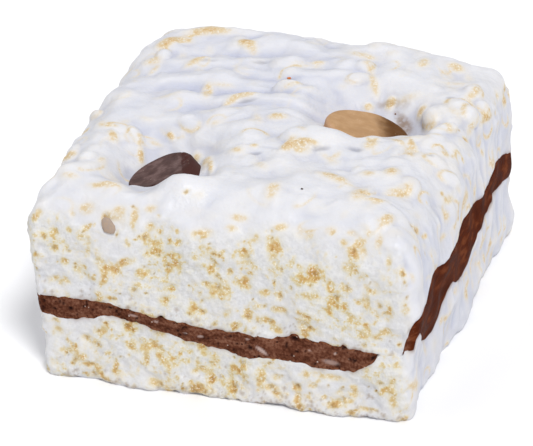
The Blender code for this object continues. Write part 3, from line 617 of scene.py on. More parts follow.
def lattice_noise(points, cell, seed):
    """Smooth noise from -1 to 1 whose lumps are about one cell across; cell may differ along X, Y and Z."""
    table = np.random.RandomState(seed).uniform(-1.0, 1.0, (NOISE_SIZE,) * 3)
    scaled = points / cell
    base = np.floor(scaled).astype(int)
    blend = smooth_step(scaled - base)
    total = np.zeros(len(points))
    for corner in itertools.product((0, 1), repeat=3):
        index = (base + corner) % NOISE_SIZE
        weight = np.prod(np.where(corner, blend, 1.0 - blend), axis=1)
        total += weight * table[index[:, 0], index[:, 1], index[:, 2]]
    return total


def field(points, name):
    """One of the noise fields, from -1 to 1."""
    return lattice_noise(points, *NOISE[name])


def ranged(pair, part):
    """The value between the two of a pair, the first for 0 and the second for 1."""
    return pair[0] + (pair[1] - pair[0]) * part


def fold_window(x, y):
    from_folds = np.hypot(x - FOLD_CENTRE[0], y - FOLD_CENTRE[1])
    return smooth_step((FOLD_REACH - from_folds) / FOLD_FADE)


def top_height(x, y):
    """Height of the block's top, with its crown, folds, hollows and swellings."""
    crown = CROWN * np.clip(1.0 - (2.0 * x / BLOCK_WIDTH) ** 2, 0.0, 1.0)
    folds = FOLD_HEIGHT * fold_window(x, y) * np.sin(2.0 * math.pi * (y - FOLD_SLANT * x) / FOLD_PITCH)
    height = BLOCK_HEIGHT + crown + folds
    for centre_x, centre_y, reach, rise in TOP_FORMS_MM:
        distance = np.hypot(x - MM * centre_x, y - MM * centre_y)
        height = height + MM * rise * smooth_step(1.0 - distance / (MM * reach))
    return height


def plan_distance(x, y, z):
    """Distance outside the block's rounded square outline, which widens upwards."""
    flare = smooth_step(z / FLARE_HEIGHT)
    at_back = smooth_step(0.5 + y / BLOCK_DEPTH)
    middle = np.sin(math.pi * np.clip(z / BLOCK_HEIGHT, 0.0, 1.0))
    bulge = LEFT_BULGE * np.clip(1.0 - (2.0 * y / BLOCK_DEPTH) ** 2, 0.0, 1.0)
    pinch = PINCH_DEPTH * smooth_step(1.0 - np.abs(y - PINCH_Y) / PINCH_REACH) * (1.0 - flare)
    at_front_left = smooth_step(-2.0 * x / BLOCK_WIDTH) * smooth_step(-2.0 * y / BLOCK_DEPTH)
    radius = CORNER_RADIUS + (FRONT_LEFT_RADIUS - CORNER_RADIUS) * at_front_left
    low = -0.5 * BLOCK_WIDTH - (FLARE_LEFT - FRONT_LEFT_DRAW * at_front_left + bulge) * flare
    high = 0.5 * BLOCK_WIDTH + FLARE_RIGHT_FRONT * flare * (1.0 - at_back)
    high = high + RIGHT_BACK_BULGE * middle * at_back - pinch
    across = np.abs(x - 0.5 * (low + high)) - (0.5 * (high - low) - radius)
    along = np.abs(y) - (0.5 * BLOCK_DEPTH - radius)
    outside = np.hypot(np.maximum(across, 0.0), np.maximum(along, 0.0))
    return outside + np.minimum(np.maximum(across, along), 0.0) - radius


def body_distance(points):
    """Distance outside the whole block, less than zero inside it."""
    x, y, z = points[:, 0], points[:, 1], points[:, 2]
    towards_front = smooth_step(0.5 - y / BLOCK_DEPTH)
    radius = EDGE_RADIUS_BACK + (EDGE_RADIUS_FRONT - EDGE_RADIUS_BACK) * towards_front
    side = plan_distance(x, y, z) + radius
    above = z - top_height(x, y) + radius
    rounded = np.hypot(np.maximum(side, 0.0), np.maximum(above, 0.0))
    distance = rounded + np.minimum(np.maximum(side, above), 0.0) - radius
    for number, (size, height) in enumerate(LUMPS):
        distance = distance - height * lattice_noise(points, size, LUMP_SEED + number)
    return distance


def surface_slope(points):
    """Gradient of body_distance by central differences."""
    slope = np.zeros_like(points)
    for axis in range(3):
        step = np.zeros(3)
        step[axis] = SLOPE_STEP
        slope[:, axis] = body_distance(points + step) - body_distance(points - step)
    return slope / (2.0 * SLOPE_STEP)


def draw_to_surface(points, keep_height):
    """Moves points onto the block's surface; with keep_height they only move sideways."""
    moved = points.copy()
    for _ in range(SURFACE_STEPS):
        slope = surface_slope(moved)
        if keep_height:
            slope[:, 2] = 0.0
        length_squared = np.maximum((slope ** 2).sum(axis=1), LEAST_SLOPE_SQUARED)
        moved -= slope * (body_distance(moved) / length_squared)[:, None]
    return moved


def outline_places():
    """The sharp rectangle's boundary points, counter-clockwise from the front left, as (x, y, place)."""
    half_x, half_y = 0.5 * BLOCK_WIDTH, 0.5 * BLOCK_DEPTH
    corners = ((-half_x, -half_y), (half_x, -half_y), (half_x, half_y), (-half_x, half_y))
    places = []
    for side in range(4):
        start, end = corners[side], corners[(side + 1) % 4]
        cells = (CELLS_X, CELLS_Y)[side % 2]
        for cell in range(cells):
            part = cell / cells
            x = start[0] + (end[0] - start[0]) * part
            y = start[1] + (end[1] - start[1]) * part
            places.append((x, y, side + part))
    return np.array(places)


def table_height(place, table_mm):
    """Height in metres at a place, eased between the table's points."""
    positions, heights = (np.array(column) for column in zip(*table_mm))
    after = np.clip(np.searchsorted(positions, place, side="right"), 1, len(positions) - 1)
    before = after - 1
    part = (place - positions[before]) / (positions[after] - positions[before])
    eased = 0.5 * part + 0.5 * smooth_step(part)
    return MM * (heights[before] + (heights[after] - heights[before]) * eased)


def on_side(place, side):
    """1 on one side of the block, 0 on the others, with a short change at the corners."""
    from_middle = np.abs((place - side - 0.5 + 2.0) % 4.0 - 2.0)
    return smooth_step((SIDE_REACH - from_middle) / SIDE_FADE)


def on_smooth_sides(place):
    """1 on the right and the left, 0 on the cut sides and where the cut front runs round the left corner."""
    left = on_side(place, LEFT) * (1.0 - smooth_step((place - CUT_RUNS_TO) / CUT_FADE))
    return on_side(place, RIGHT) + left


def is_closed_over(place):
    """1 where the crispy layers meet in front of the chocolate, next to the front right corner."""
    rising = np.minimum(TIP_FULLNESS * smooth_step((place - TIP_FROM) / (TIP_TO - TIP_FROM)), 1.0)
    return rising * smooth_step((TIP_END - place) / TIP_END_FADE)


def uneven(points, teeth, seed):
    total = np.zeros(len(points))
    for number, (size, height) in enumerate(teeth):
        total += height * lattice_noise(points, size, seed + number)
    return total


def bubble_rise():
    """How far the bubbles raise the band's upper edge, in its front."""
    rise = np.zeros(len(places))
    for middle, radius in BUBBLES_MM:
        offset = places[:, 0] - MM * middle
        rise = np.maximum(rise, np.sqrt(np.clip((MM * radius) ** 2 - offset ** 2, 0.0, None)))
    return BUBBLE_RISE * rise * on_side(places[:, 2], FRONT)


def band_edge(table_mm, seed):
    """One edge of the band round the block: ragged on the cut sides, smoother on the right and the left."""
    place = places[:, 2]
    height = table_height(place, table_mm)
    at_height = np.column_stack((places[:, :2], height))
    smooth_sides = on_smooth_sides(place)
    teeth = uneven(at_height, CUT_EDGE_TEETH, seed) * (1.0 - smooth_sides)
    teeth += uneven(at_height, SMOOTH_EDGE_TEETH, seed + SMOOTH_SEED_STEP) * smooth_sides
    if table_mm is BAND_TOP_MM:
        teeth += bubble_rise()
    closed = is_closed_over(place)
    return height + teeth * (1.0 - closed) + (COVERED_HEIGHT - height) * closed


def ring_quads(ring_count, columns):
    """Quads between rings that follow each other, seen from outside."""
    ring = np.arange(ring_count - 1)[:, None] * columns
    column = np.arange(columns)[None, :]
    following = (column + 1) % columns
    corners = (ring + column, ring + following, ring + columns + following, ring + columns + column)
    return np.stack(corners, -1).reshape(-1, 4)


def fan(ring, centre, upwards):
    """Triangles from a ring to one middle point."""
    following = np.roll(ring, -1)
    middle = np.full(len(ring), centre)
    order = (ring, following, middle) if upwards else (following, ring, middle)
    return np.stack(order, -1)


class Shell:
    """Points of one layer's surface, with their outward normals, place round the block and painted values."""

    def __init__(self, points, place):
        self.points = points
        self.place = place
        slope = surface_slope(points)
        self.normals = slope / np.maximum(np.linalg.norm(slope, axis=1), TINY)[:, None]
        self.swell = np.zeros(len(points))
        self.sink = np.zeros(len(points))
        self.paint = {name: np.zeros(len(points)) for name in PAINTS}
        self.tree = KDTree(len(points))
        for index, point in enumerate(points):
            self.tree.insert(point, index)
        self.tree.balance()
        self.upward = smooth_step((self.normals[:, 2] - UPWARD_FROM) / UPWARD_FADE)
        self.streaked = on_smooth_sides(place) * (1.0 - self.upward)
        self.cut = (1.0 - self.upward) * (1.0 - self.streaked)
        self.thin = 1.0 - coat_thickness(points, self.upward, place)

    def near(self, centre, reach):
        return np.array([index for _, index, _ in self.tree.find_range(centre, reach)], dtype=int)

    def nearest(self, centre):
        _, index, distance = self.tree.find(centre)
        return index, distance

    def near_oval(self, oval, reach):
        """Points near an oval, (centre, along, across, size), with their distance from its middle, 1 at the
        edge, and their direction from it."""
        centre, along, across, size = oval
        index = self.near(centre, reach * max(size))
        offset = self.points[index] - centre
        lengthways, sideways = offset @ along / size[0], offset @ across / size[1]
        through = offset @ np.cross(along, across) / GRAIN_DEPTH_SCALE
        distance = np.sqrt(lengthways ** 2 + sideways ** 2 + through ** 2)
        return index, distance, np.arctan2(sideways, lengthways)

    def cover(self, name, index, amount):
        """Paints over what is there, as a thin layer of that strength would."""
        self.paint[name][index] = 1.0 - (1.0 - self.paint[name][index]) * (1.0 - amount)

    def lower(self, index, depth):
        self.sink[index] = np.maximum(self.sink[index], depth)


def tangent_frame(normal, angle):
    """Two unit directions along the surface, the first turned by an angle."""
    start = np.array([0.0, 0.0, 1.0]) if abs(normal[2]) < STEEP else np.array([1.0, 0.0, 0.0])
    first = start - normal * start.dot(normal)
    first /= np.linalg.norm(first)
    second = np.cross(normal, first)
    along = first * math.cos(angle) + second * math.sin(angle)
    return along, np.cross(normal, along)


def plane_frame(normal, plane, degrees):
    """Two unit directions along the surface, the first turned from the first axis of a plane."""
    along = np.zeros(3)
    along[list(PLANE_AXES[plane])] = math.cos(math.radians(degrees)), math.sin(math.radians(degrees))
    along -= normal * along.dot(normal)
    along /= np.linalg.norm(along)
    return along, np.cross(normal, along)


def coat_thickness(points, upward, place):
    """0 where grains show through the marshmallow, 1 where it hides them."""
    x, y, z = points.T
    coat = COAT_AVERAGE + sum(share * field(points, name) for name, share in COAT_SPREAD.items())
    for centre_x, centre_y, reach, _ in HOLLOWS_MM:
        distance = np.hypot(x - MM * centre_x, y - MM * centre_y)
        coat += COAT_IN_HOLLOWS * upward * smooth_step(HOLLOW_REACH - distance / (MM * reach))
    coat += COAT_ON_FOLDS * upward * fold_window(x, y)
    coat += COAT_ON_ROLL * on_side(place, FRONT) * smooth_step((z - ROLL_FROM) / ROLL_FADE)
    return np.clip(coat, 0.0, 1.0)


def add_dome(shell, oval, height, roundness):
    """One grain that swells the coat; a low roundness gives it a crisp foot."""
    index, radial, _ = shell.near_oval(oval, 1.0)
    dome = height * np.clip(1.0 - radial ** 2, 0.0, 1.0) ** roundness
    shell.swell[index] = np.maximum(shell.swell[index], dome)


def add_toast(shell, oval, strength, depth=0.0):
    """Golden tint where a grain shows, with a pale halo round it, sunk by a depth where it was cut."""
    index, radial, _ = shell.near_oval(oval, HALO_EDGE)
    core = smooth_step((CORE_EDGE - radial) / CORE_FADE)
    halo = smooth_step((HALO_EDGE - radial) / HALO_FADE)
    shell.cover("toast", index, strength * (CORE_STRENGTH * core + HALO_STRENGTH * halo))
    shell.lower(index, depth * core)


def add_arc(shell, oval, strength, turn):
    """Golden arc at the foot of a grain, on the side that it is turned to."""
    index, radial, angle = shell.near_oval(oval, ARC_EDGE)
    ring = np.exp(-((radial - ARC_RADIUS) / ARC_WIDTH) ** 2)
    span = smooth_step(ranged(ARC_SPAN, np.cos(angle - turn)))
    shell.cover("toast", index, strength * ring * span)


def add_spot(shell, centre, radius, strength, depth):
    """A soft round dark pit, sunk by a depth; its dark paint is painted shade in a pit, and the colour of a
    dark crumb where it marks one.
    """
    index = shell.near(centre, SPOT_EDGE * radius)
    distance = np.linalg.norm(shell.points[index] - centre, axis=1) / radius
    fall = smooth_step((SPOT_EDGE - distance) / SPOT_FADE)
    shell.cover("pit", index, strength * fall)
    shell.lower(index, depth * fall)


def scatter_grains(shell, seed):
    """Puffed rice under the coat, all over a shell but not beside the buttons."""
    chance = np.random.RandomState(seed)
    taken = {}
    for candidate in chance.randint(0, len(shell.points), GRAIN_DRAWS):
        centre = shell.points[candidate]
        cell = tuple(np.floor(centre / GRAIN_SPACING).astype(int))
        neighbours = (
            taken.get((cell[0] + step[0], cell[1] + step[1], cell[2] + step[2]))
            for step in itertools.product((-1, 0, 1), repeat=3))
        crowded = any(
            other is not None and np.linalg.norm(other - centre) < GRAIN_SPACING for other in neighbours)
        if not crowded and not near_button(centre):
            taken[cell] = centre
            add_random_grain(shell, chance, candidate)


def add_random_grain(shell, chance, vertex):
    """One grain of random size and turn, which shows the more the thinner the coat is."""
    centre, normal = shell.points[vertex], shell.normals[vertex]
    upward, streaked, thin = shell.upward[vertex], shell.streaked[vertex], shell.thin[vertex]
    angle = chance.uniform(0.0, 2.0 * math.pi) * (1.0 - STREAK_ALIGNMENT * streaked)
    along, across = tangent_frame(normal, angle)
    size = np.array((chance.uniform(*GRAIN_HALF_LENGTH), chance.uniform(*GRAIN_HALF_WIDTH)))
    bare = chance.uniform(0.0, 1.0) < BARE_SHARE * thin * upward
    height = chance.uniform(*GRAIN_SWELL) * (1.0 if bare else ranged(SWELL_BY_THINNESS, thin))
    height *= ranged(SWELL_BY_TOP, upward)
    add_dome(shell, (centre, along, across, size), height, BARE_ROUNDNESS if bare else COAT_ROUNDNESS)
    strength = chance.uniform(*GRAIN_TINT) * ranged(TINT_BY_THINNESS, thin) * ranged(TINT_BY_STREAKS, streaked)
    wanted = (upward + TINTED_ON_STREAKS * streaked) * ranged(TINTED_BY_THINNESS, thin)
    shows, arched, tinted = chance.uniform(0.0, 1.0, 3) < wanted * np.array(TINT_SHARES)
    aside = along * size[0] * chance.uniform(-OPEN_SHIFT, OPEN_SHIFT)
    aside = aside + across * size[1] * chance.uniform(-OPEN_SHIFT, OPEN_SHIFT)
    part, turn = chance.uniform(*OPEN_PART), chance.uniform(0.0, 2.0 * math.pi)
    if tinted:
        add_toast(shell, (centre, along, across, FAINT_SIZE * size), FAINT_STRENGTH * strength)
    if arched or bare:
        add_arc(shell, (centre, along, across, size), ARC_STRENGTH * strength, turn)
    if shows:
        add_toast(shell, (centre + aside, along, across, size * part), strength)


def scatter_cells(shell, seed):
    """Golden cells of the cut faces, in loose clusters, the deeper ones with a pit painted dark as shade."""
    chance = np.random.RandomState(seed)
    picked = chance.randint(0, len(shell.points), int(CELL_DRAWS * len(shell.points)))
    clusters = field(shell.points, "cell clusters") + CELL_GROUPING * field(shell.points, "cell groups")
    wanted = shell.cut * ranged(CELLS_BY_CLUSTER, smooth_step(ranged(CELL_CLUSTERING, clusters)))
    wanted *= ranged(CELLS_BY_THINNESS, shell.thin)
    for vertex in picked:
        draw, width, strength, depth, aspect, turn = chance.uniform(0.0, 1.0, 6)
        if draw > wanted[vertex]:
            continue
        centre = shell.points[vertex]
        half_width = ranged(CELL_HALF_WIDTH, width ** CELL_WIDTH_BIAS)
        amount = ranged(CELL_STRENGTH, strength ** CELL_STRENGTH_BIAS)
        deep = ranged(CELL_DEPTH, depth * amount)
        along, across = tangent_frame(shell.normals[vertex], 2.0 * math.pi * turn)
        size = (half_width * ranged(CELL_LENGTH, aspect), half_width)
        add_toast(shell, (centre, along, across, size), amount, deep)
        if depth > PIT_FROM[0] and strength > PIT_FROM[1]:
            add_spot(shell, centre, PIT_SIZE * half_width + PIT_LEAST, PIT_STRENGTH, deep)


def scatter_specks(shell, from_line, reach, count, seed):
    """Dark crumbs of the cut faces, most of them close to a line."""
    chance = np.random.RandomState(seed)
    picked = chance.randint(0, len(shell.points), SPECK_TRIES * count)
    draws = chance.uniform(0.0, 1.0, (SPECK_TRIES * count, 2))
    wanted = shell.cut[picked] * np.exp(-np.maximum(from_line[picked], 0.0) / reach)
    chosen = np.flatnonzero(draws[:, 0] < wanted)[:count]
    for vertex, width in zip(picked[chosen], draws[chosen, 1]):
        radius, strength = ranged(SPECK_RADIUS, width), ranged(SPECK_STRENGTH, width)
        add_spot(shell, shell.points[vertex], radius, strength, SPECK_DEPTH)


def add_big_grains(shell):
    """The large grains and bubbles that stand out of the top in the photograph."""
    flat = np.array([(MM * row[0], MM * row[1], BLOCK_HEIGHT) for row in BIG_GRAINS_MM])
    centres = draw_to_surface(flat, False)
    for centre, slope, row in zip(centres, surface_slope(centres), BIG_GRAINS_MM):
        half_length, half_width, height, turn, arc = row[2:]
        along, across = tangent_frame(slope / np.linalg.norm(slope), math.radians(turn))
        oval = (centre, along, across, (MM * half_length, MM * half_width))
        add_dome(shell, oval, MM * height, BARE_ROUNDNESS)
        add_arc(shell, oval, BIG_GRAIN_ARC, math.radians(arc - turn))


def add_coat_dips(shell, points):
    """Lowers the coat beside the buttons, where the photograph shows more of them."""
    for x, y, reach, depth in COAT_DIPS_MM:
        distance = np.hypot(points[:, 0] - MM * x, points[:, 1] - MM * y) / (MM * reach)
        points[:, 2] -= MM * depth * smooth_step(1.0 - distance) * shell.upward


def seen_point(coat, centre):
    """The point and normal of a finished coat that the camera sees on its line through a place near it."""
    points, normals = coat
    back = np.array(camera_axes()[0])
    offsets = points - centre
    nearness = offsets @ back
    aside = np.linalg.norm(offsets - nearness[:, None] * back, axis=1)
    on_line = np.flatnonzero(aside < SIGHT_WIDTH)
    index = on_line[np.argmax(nearness[on_line])]
    return points[index], normals[index]


def on_plane(plane, first, second):
    """The point that a place in mm on one of the planes means."""
    point = np.full(3, PLANE_LEVEL[plane])
    point[list(PLANE_AXES[plane])] = MM * first, MM * second
    return point


def turned_body(profile, segments):
    """Points and faces of a closed body turned about the Z axis, whose profile runs from pole to pole."""
    turn = np.arange(segments) * 2.0 * math.pi / segments
    rings = [
        np.column_stack((radius * np.cos(turn), radius * np.sin(turn), np.full(segments, height)))
        for radius, height in profile[1:-1]]
    poles = [(0.0, 0.0, profile[0][1]), (0.0, 0.0, profile[-1][1])]
    count = len(rings) * segments
    faces = ring_quads(len(rings), segments).tolist()
    faces += fan(np.arange(segments), count, False).tolist()
    faces += fan(np.arange(segments) + count - segments, count + 1, True).tolist()
    return np.concatenate(rings + [poles]), faces


def build_flecks(coat, material):
    """Loose crumbs and specks that lie on the coat, each a small uneven lump."""
    profile = [(math.sqrt(1.0 - height * height), height) for height in FLECK_HEIGHTS]
    ball, ball_faces = turned_body([(0.0, -1.0)] + profile + [(0.0, 1.0)], FLECK_SEGMENTS)
    points, faces, shades = [], [], []
    for number, (row, centre) in enumerate(zip(FLECKS_MM, sight_places(FLECKS_MM))):
        size, shade, turn = np.array(row[3:6]), row[6], row[7]
        place, normal = seen_point(coat, centre)
        along, across = tangent_frame(normal, math.radians(turn))
        noise = lattice_noise(ball, FLECK_LUMPS, FLECK_SEED + number)
        lump = ball * (1.0 + FLECK_UNEVENNESS * noise)[:, None] * MM * size
        faces += [[corner + number * len(ball) for corner in face] for face in ball_faces]
        points.append(place + normal * FLECK_LIFT * MM * size[2] + lump @ np.stack((along, across, normal)))
        shades += [shade] * len(ball)
    piece = make_piece("flecks", fit_box(np.concatenate(points)), faces, {"shade": shades}, material)


def fleck_material():
    """Crumbs from dark brown over orange to greyish tan, by the shade painted on each."""
    look = Look("flecks", 0.55)
    shade = look.plus(look.attribute("shade"), look.spread(look.noise(0.0005), 0.3, 0.7, -0.06, 0.06))
    colour = look.ramp(shade, (
        (0.0, (52, 40, 34)), (0.25, (104, 66, 36)), (0.5, (214, 122, 64)), (0.75, (200, 160, 110)),
        (1.0, (164, 146, 132))))
    look.link(colour, look.shader.inputs["Base Color"])
    look.link(look.bump(look.noise(0.0006), 0.6, 0.0002), look.shader.inputs["Normal"])
    look.shader.inputs["Specular IOR Level"].default_value = 0.2
    return look.material


def button_calm(points):
    """0 next to the buttons, where the coat keeps its plain form, 1 away from them."""
    calm = np.ones(len(points))
    for button in BUTTONS:
        distance = np.linalg.norm(points - np.array(button["centre"]), axis=1) - 0.5 * button["diameter"]
        calm *= smooth_step(distance / BUTTON_CALM)
    return calm


def camera_axes():
    """The camera's direction backwards, its right and its up, turned as the photograph is."""
    azimuth, elevation = math.radians(CAMERA_AZIMUTH), math.radians(CAMERA_ELEVATION)
    back = Vector((
        math.sin(azimuth) * math.cos(elevation), -math.cos(azimuth) * math.cos(elevation), math.sin(elevation)))
    right = Vector((0.0, 0.0, 1.0)).cross(back).normalized()
    up = back.cross(right)
    roll = Matrix.Rotation(math.radians(CAMERA_ROLL), 3, back)
    return back, roll @ right, roll @ up


def sight_places(rows):
    """Where the lines of sight through places, rows of (plane, first, second) and more, meet the surface."""
    back, _, _ = camera_axes()
    eye = np.array((0.0, 0.0, CAMERA_TARGET_HEIGHT)) + np.array(back) * CAMERA_DISTANCE
    direction = np.array([on_plane(*row[:3]) for row in rows]) - eye
    reach = np.linalg.norm(direction, axis=1)
    direction /= reach[:, None]
    travelled = reach - SIGHT_START
    for _ in range(SIGHT_STEPS):
        travelled += SIGHT_STEP_SHARE * body_distance(eye + direction * travelled[:, None])
    return eye + direction * travelled[:, None]


def add_seen_patches(shell):
    """The golden patches that stand out in the photograph, each on the surface behind its place."""
    rows = [(plane, *row) for plane, table in PATCHES_MM.items() for row in table]
    for row, centre in zip(rows, sight_places(rows)):
        plane, _, _, half_length, half_width, turn, strength = row
        vertex, distance = shell.nearest(centre)
        if distance > PATCH_REACH:
            continue
        along, across = plane_frame(shell.normals[vertex], plane, turn)
        size = PATCH_SCALE[plane] * MM * np.array((half_length, half_width))
        depth = PATCH_DEPTH * strength * shell.cut[vertex]
        add_toast(shell, (centre, along, across, size), PATCH_STRENGTH[plane] * strength, depth)
        if plane == "top":
            grain = PATCH_GRAIN_SCALE * size + PATCH_GRAIN_RIM
            add_dome(shell, (centre, along, across, grain), PATCH_SWELL * strength, BARE_ROUNDNESS)


def add_gaps(shell):
    """Small gaps between the grains of the top, sunk and painted dark as shadow."""
    rows = [("top", *row) for row in GAPS_MM]
    for row, centre in zip(rows, sight_places(rows)):
        plane, _, _, half_length, half_width, turn = row
        vertex, _ = shell.nearest(centre)
        along, across = plane_frame(shell.normals[vertex], plane, turn)
        oval = (centre, along, across, (MM * half_length, MM * half_width))
        index, radial, _ = shell.near_oval(oval, GAP_REACH)
        fall = smooth_step((GAP_EDGE - radial) / GAP_FADE)
        # Painted shadow in the gap
        shell.cover("gap_shadow", index, fall)
        shell.lower(index, GAP_DEPTH * fall)


def right_back_draw(place):
    """How far the right side is drawn in towards its back corner."""
    return RIGHT_BACK_DRAW * on_side(place, RIGHT) * smooth_step((place - RIGHT_BACK_FROM) / RIGHT_BACK_FADE)


def fold_turns(points):
    """Which fold each point lies on, by the regular folds of the solids."""
    return (points[:, 1] - FOLD_SLANT * points[:, 0]) / FOLD_PITCH


def bent_folds(points):
    """Soft folds that wander across the top and fade here and there, -1 in a valley and 1 on a ridge."""
    bend = sum(share * field(points, name) for name, share in FOLD_BENDING.items())
    turns = 2.0 * math.pi * (fold_turns(points) + bend)
    fading = smooth_step(ranged(FOLD_FADING, field(points, "fold fading")))
    return np.sin(turns + FOLD_SKEW * np.sin(turns)) * fading


def surface_relief(shell):
    """Folds and the fine unevenness of marshmallow, as a height along the normal."""
    points, cut, upward, streaked, thin = shell.points, shell.cut, shell.upward, shell.streaked, shell.thin
    window = fold_window(points[:, 0], points[:, 1]) * upward
    warp = WARP * np.column_stack([field(points, "warp " + axis) for axis in "xyz"])
    bent = points + warp

    def raised(name, where=points):
        return COAT_RELIEF[name] * field(where, name)

    long_folds, folds = field(bent, "long folds"), bent_folds(points)
    even_folds = np.sin(2.0 * math.pi * fold_turns(points))
    height = COAT_RELIEF["long folds"] * long_folds + COAT_RELIEF["bent folds"] * folds
    height = window * (height - EVEN_FOLDS_TAKEN * FOLD_HEIGHT * even_folds)
    creases = smooth_step(1.0 - np.abs(field(bent, "creases")) / CREASE_WIDTH)
    creases *= smooth_step(ranged(CREASE_PATCHES, field(points, "crease patches")))
    height -= upward * COAT_RELIEF["creases"] * creases
    height += upward * (ranged(BROAD_BY_THINNESS, thin) * raised("broad", bent) + thin * raised("small", bent))
    height += (1.0 + thin) * raised("grain") + raised("fine grain")
    height += cut * (raised("cut") + raised("fine cut"))
    warped = points + STREAK_WARP * warp
    streaks = field(warped, "streaks") + FINE_STREAKS * field(warped, "fine streaks")
    height += streaked * (COAT_RELIEF["streaks"] * streaks + raised("streaked lumps"))
    from_corner = np.abs((shell.place + 0.5) % 1.0 - 0.5)
    at_corner = smooth_step(1.0 - from_corner / CORNER_REACH) * (1.0 - upward)
    height += at_corner * (raised("corner") + raised("fine corner"))
    # Painted shade in the creases: bluer and darker in the valleys of the folds and of the streaks
    in_valleys = smooth_step(VALLEY_FROM - VALLEY_OF_FOLDS * folds - VALLEY_OF_LONG_FOLDS * long_folds)
    in_streaks = smooth_step(ranged(STREAK_VALLEYS, streaks))
    shell.paint["crease"] = np.maximum(
        upward * window * ranged(CREASE_IN_FOLDS, in_valleys),
        streaked * ranged(CREASE_IN_STREAKS, in_streaks))
    shell.paint["cut"] = cut * ranged(CUT_BY_THINNESS, thin)
    return height


def smoothed(values, quads, rounds):
    """Values at the points of a mesh, averaged over the quads round each point, some rounds of it."""
    corners = quads.ravel()
    size = len(values)
    count = np.maximum(np.bincount(corners, minlength=size), 1)
    for _ in range(rounds):
        spread = np.repeat(values[quads].mean(axis=1), 4, axis=0)
        sums = [np.bincount(corners, weights=spread[:, axis], minlength=size) for axis in range(3)]
        values = np.column_stack(sums) / count[:, None]
    return values


def paint_valleys(shell, points, quads, amount):
    """Paints shade into the valleys between grains and folds, cooler and darker, and painted light onto their
    crests.
    """
    rise = ((points - smoothed(points, quads, VALLEY_ROUNDS)) * shell.normals).sum(axis=1)
    shell.paint["valley_shade"] = amount * smooth_step(-rise / VALLEY_DEPTH)
    shell.paint["crest_highlight"] = amount * smooth_step(rise / VALLEY_DEPTH)


def lap_over_button(points, button):
    """Gives the coat a thick soft edge where it laps over a button's face, and clears it off the open face."""
    matrix = np.array(lean_matrix(button))
    local = (points - matrix[:3, 3]) @ matrix[:3, :3]
    reach = 0.5 * button["diameter"] + LAP_REACH
    inside = smooth_step((reach - np.hypot(local[:, 0], local[:, 1])) / LAP_FADE)
    above = local[:, 2] - 0.5 * button["thickness"]
    lifted = LAP_THICKNESS * np.tanh(above / LAP_SHARPNESS)
    near = smooth_step((LAP_HEIGHT - np.abs(above)) / LAP_HEIGHT)
    return points + matrix[:3, 2] * (lifted * inside * near)[:, None]


def fit_box(points):
    """Keeps points inside the solids' box, easing them off over the last part of a millimetre."""
    low, high = np.array(cad_low) - shift + BOX_EASE, np.array(cad_high) - shift - BOX_EASE
    for axis in range(3):
        over = np.maximum(points[:, axis] - high[axis], 0.0)
        points[:, axis] -= over - BOX_EASE * np.tanh(over / BOX_EASE)
        if axis < 2:
            under = np.maximum(low[axis] - points[:, axis], 0.0)
            points[:, axis] += under - BOX_EASE * np.tanh(under / BOX_EASE)
    return points


def make_piece(name, points, faces, paint, material):
    mesh = bpy.data.meshes.new(name)
    mesh.from_pydata((points + shift).tolist(), [], faces)
    for attribute_name, values in paint.items():
        attribute = mesh.attributes.new(attribute_name, "FLOAT", "POINT")
        attribute.data.foreach_set("value", np.asarray(values, dtype=np.float32))
    mesh.polygons.foreach_set("use_smooth", np.ones(len(mesh.polygons), dtype=bool))
    mesh.materials.append(material)
    mesh.validate()
    mesh.update()
    mesh.set_sharp_from_angle(angle=math.radians(SHARP_ANGLE))
    piece = bpy.data.objects.new(name, mesh)
    bpy.context.scene.collection.objects.link(piece)
    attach(piece, "root")
    return piece


def wall_between(low, high, rows):
    """Heights of the rings of a wall from one edge to another, from the first to the last."""
    return [low + (high - low) * row / rows for row in range(rows + 1)]


def ring_points(heights, keep_height=True):
    """Rings of points round the block's sides, at these heights."""
    flat = np.column_stack((np.tile(places[:, :2], (len(heights), 1)), np.concatenate(heights)))
    return draw_to_surface(flat, keep_height)


def inward(ring, inset, heights):
    """A ring drawn in towards the block's middle by an inset."""
    return np.column_stack((ring[:, :2] * (1.0 - inset / (0.5 * BLOCK_WIDTH)), heights))


def lip(distance_from_edge, amount):
    """How far a layer's edge rolls in, next to the chocolate."""
    return LIP_RECESS * amount * (1.0 - smooth_step(distance_from_edge / LIP_HEIGHT))


def layer_relief(shell, from_edge, closed):
    """Relief, grains and pits of a crispy layer, which is plain at the band's edge and beside the buttons."""
    relief = surface_relief(shell) * np.maximum(from_edge, closed) + (shell.swell - shell.sink) * from_edge
    return relief * ranged(CALM_RELIEF, button_calm(shell.points))


def padded(paint, before, after):
    """Painted values with zeros for the points that lie before and after the painted ones."""
    return {name: np.concatenate((np.zeros(before), values, np.zeros(after))) for name, values in paint.items()}


def top_quads():
    """Quads of the top: its inner grid of points, joined to the last ring of the sides."""
    last_ring = TOP_ROWS * len(places)
    grid = np.zeros((CELLS_X + 1, CELLS_Y + 1), dtype=int)
    inner = np.arange((CELLS_X - 1) * (CELLS_Y - 1)) + (TOP_ROWS + 1) * len(places)
    grid[1:-1, 1:-1] = inner.reshape(CELLS_X - 1, CELLS_Y - 1)
    grid[:-1, 0] = last_ring + np.arange(CELLS_X)
    grid[-1, :-1] = last_ring + CELLS_X + np.arange(CELLS_Y)
    grid[1:, -1] = last_ring + CELLS_X + CELLS_Y + np.arange(CELLS_X)[::-1]
    grid[0, 1:] = last_ring + 2 * CELLS_X + CELLS_Y + np.arange(CELLS_Y)[::-1]
    return np.stack((grid[:-1, :-1], grid[1:, :-1], grid[1:, 1:], grid[:-1, 1:]), -1).reshape(-1, 4)


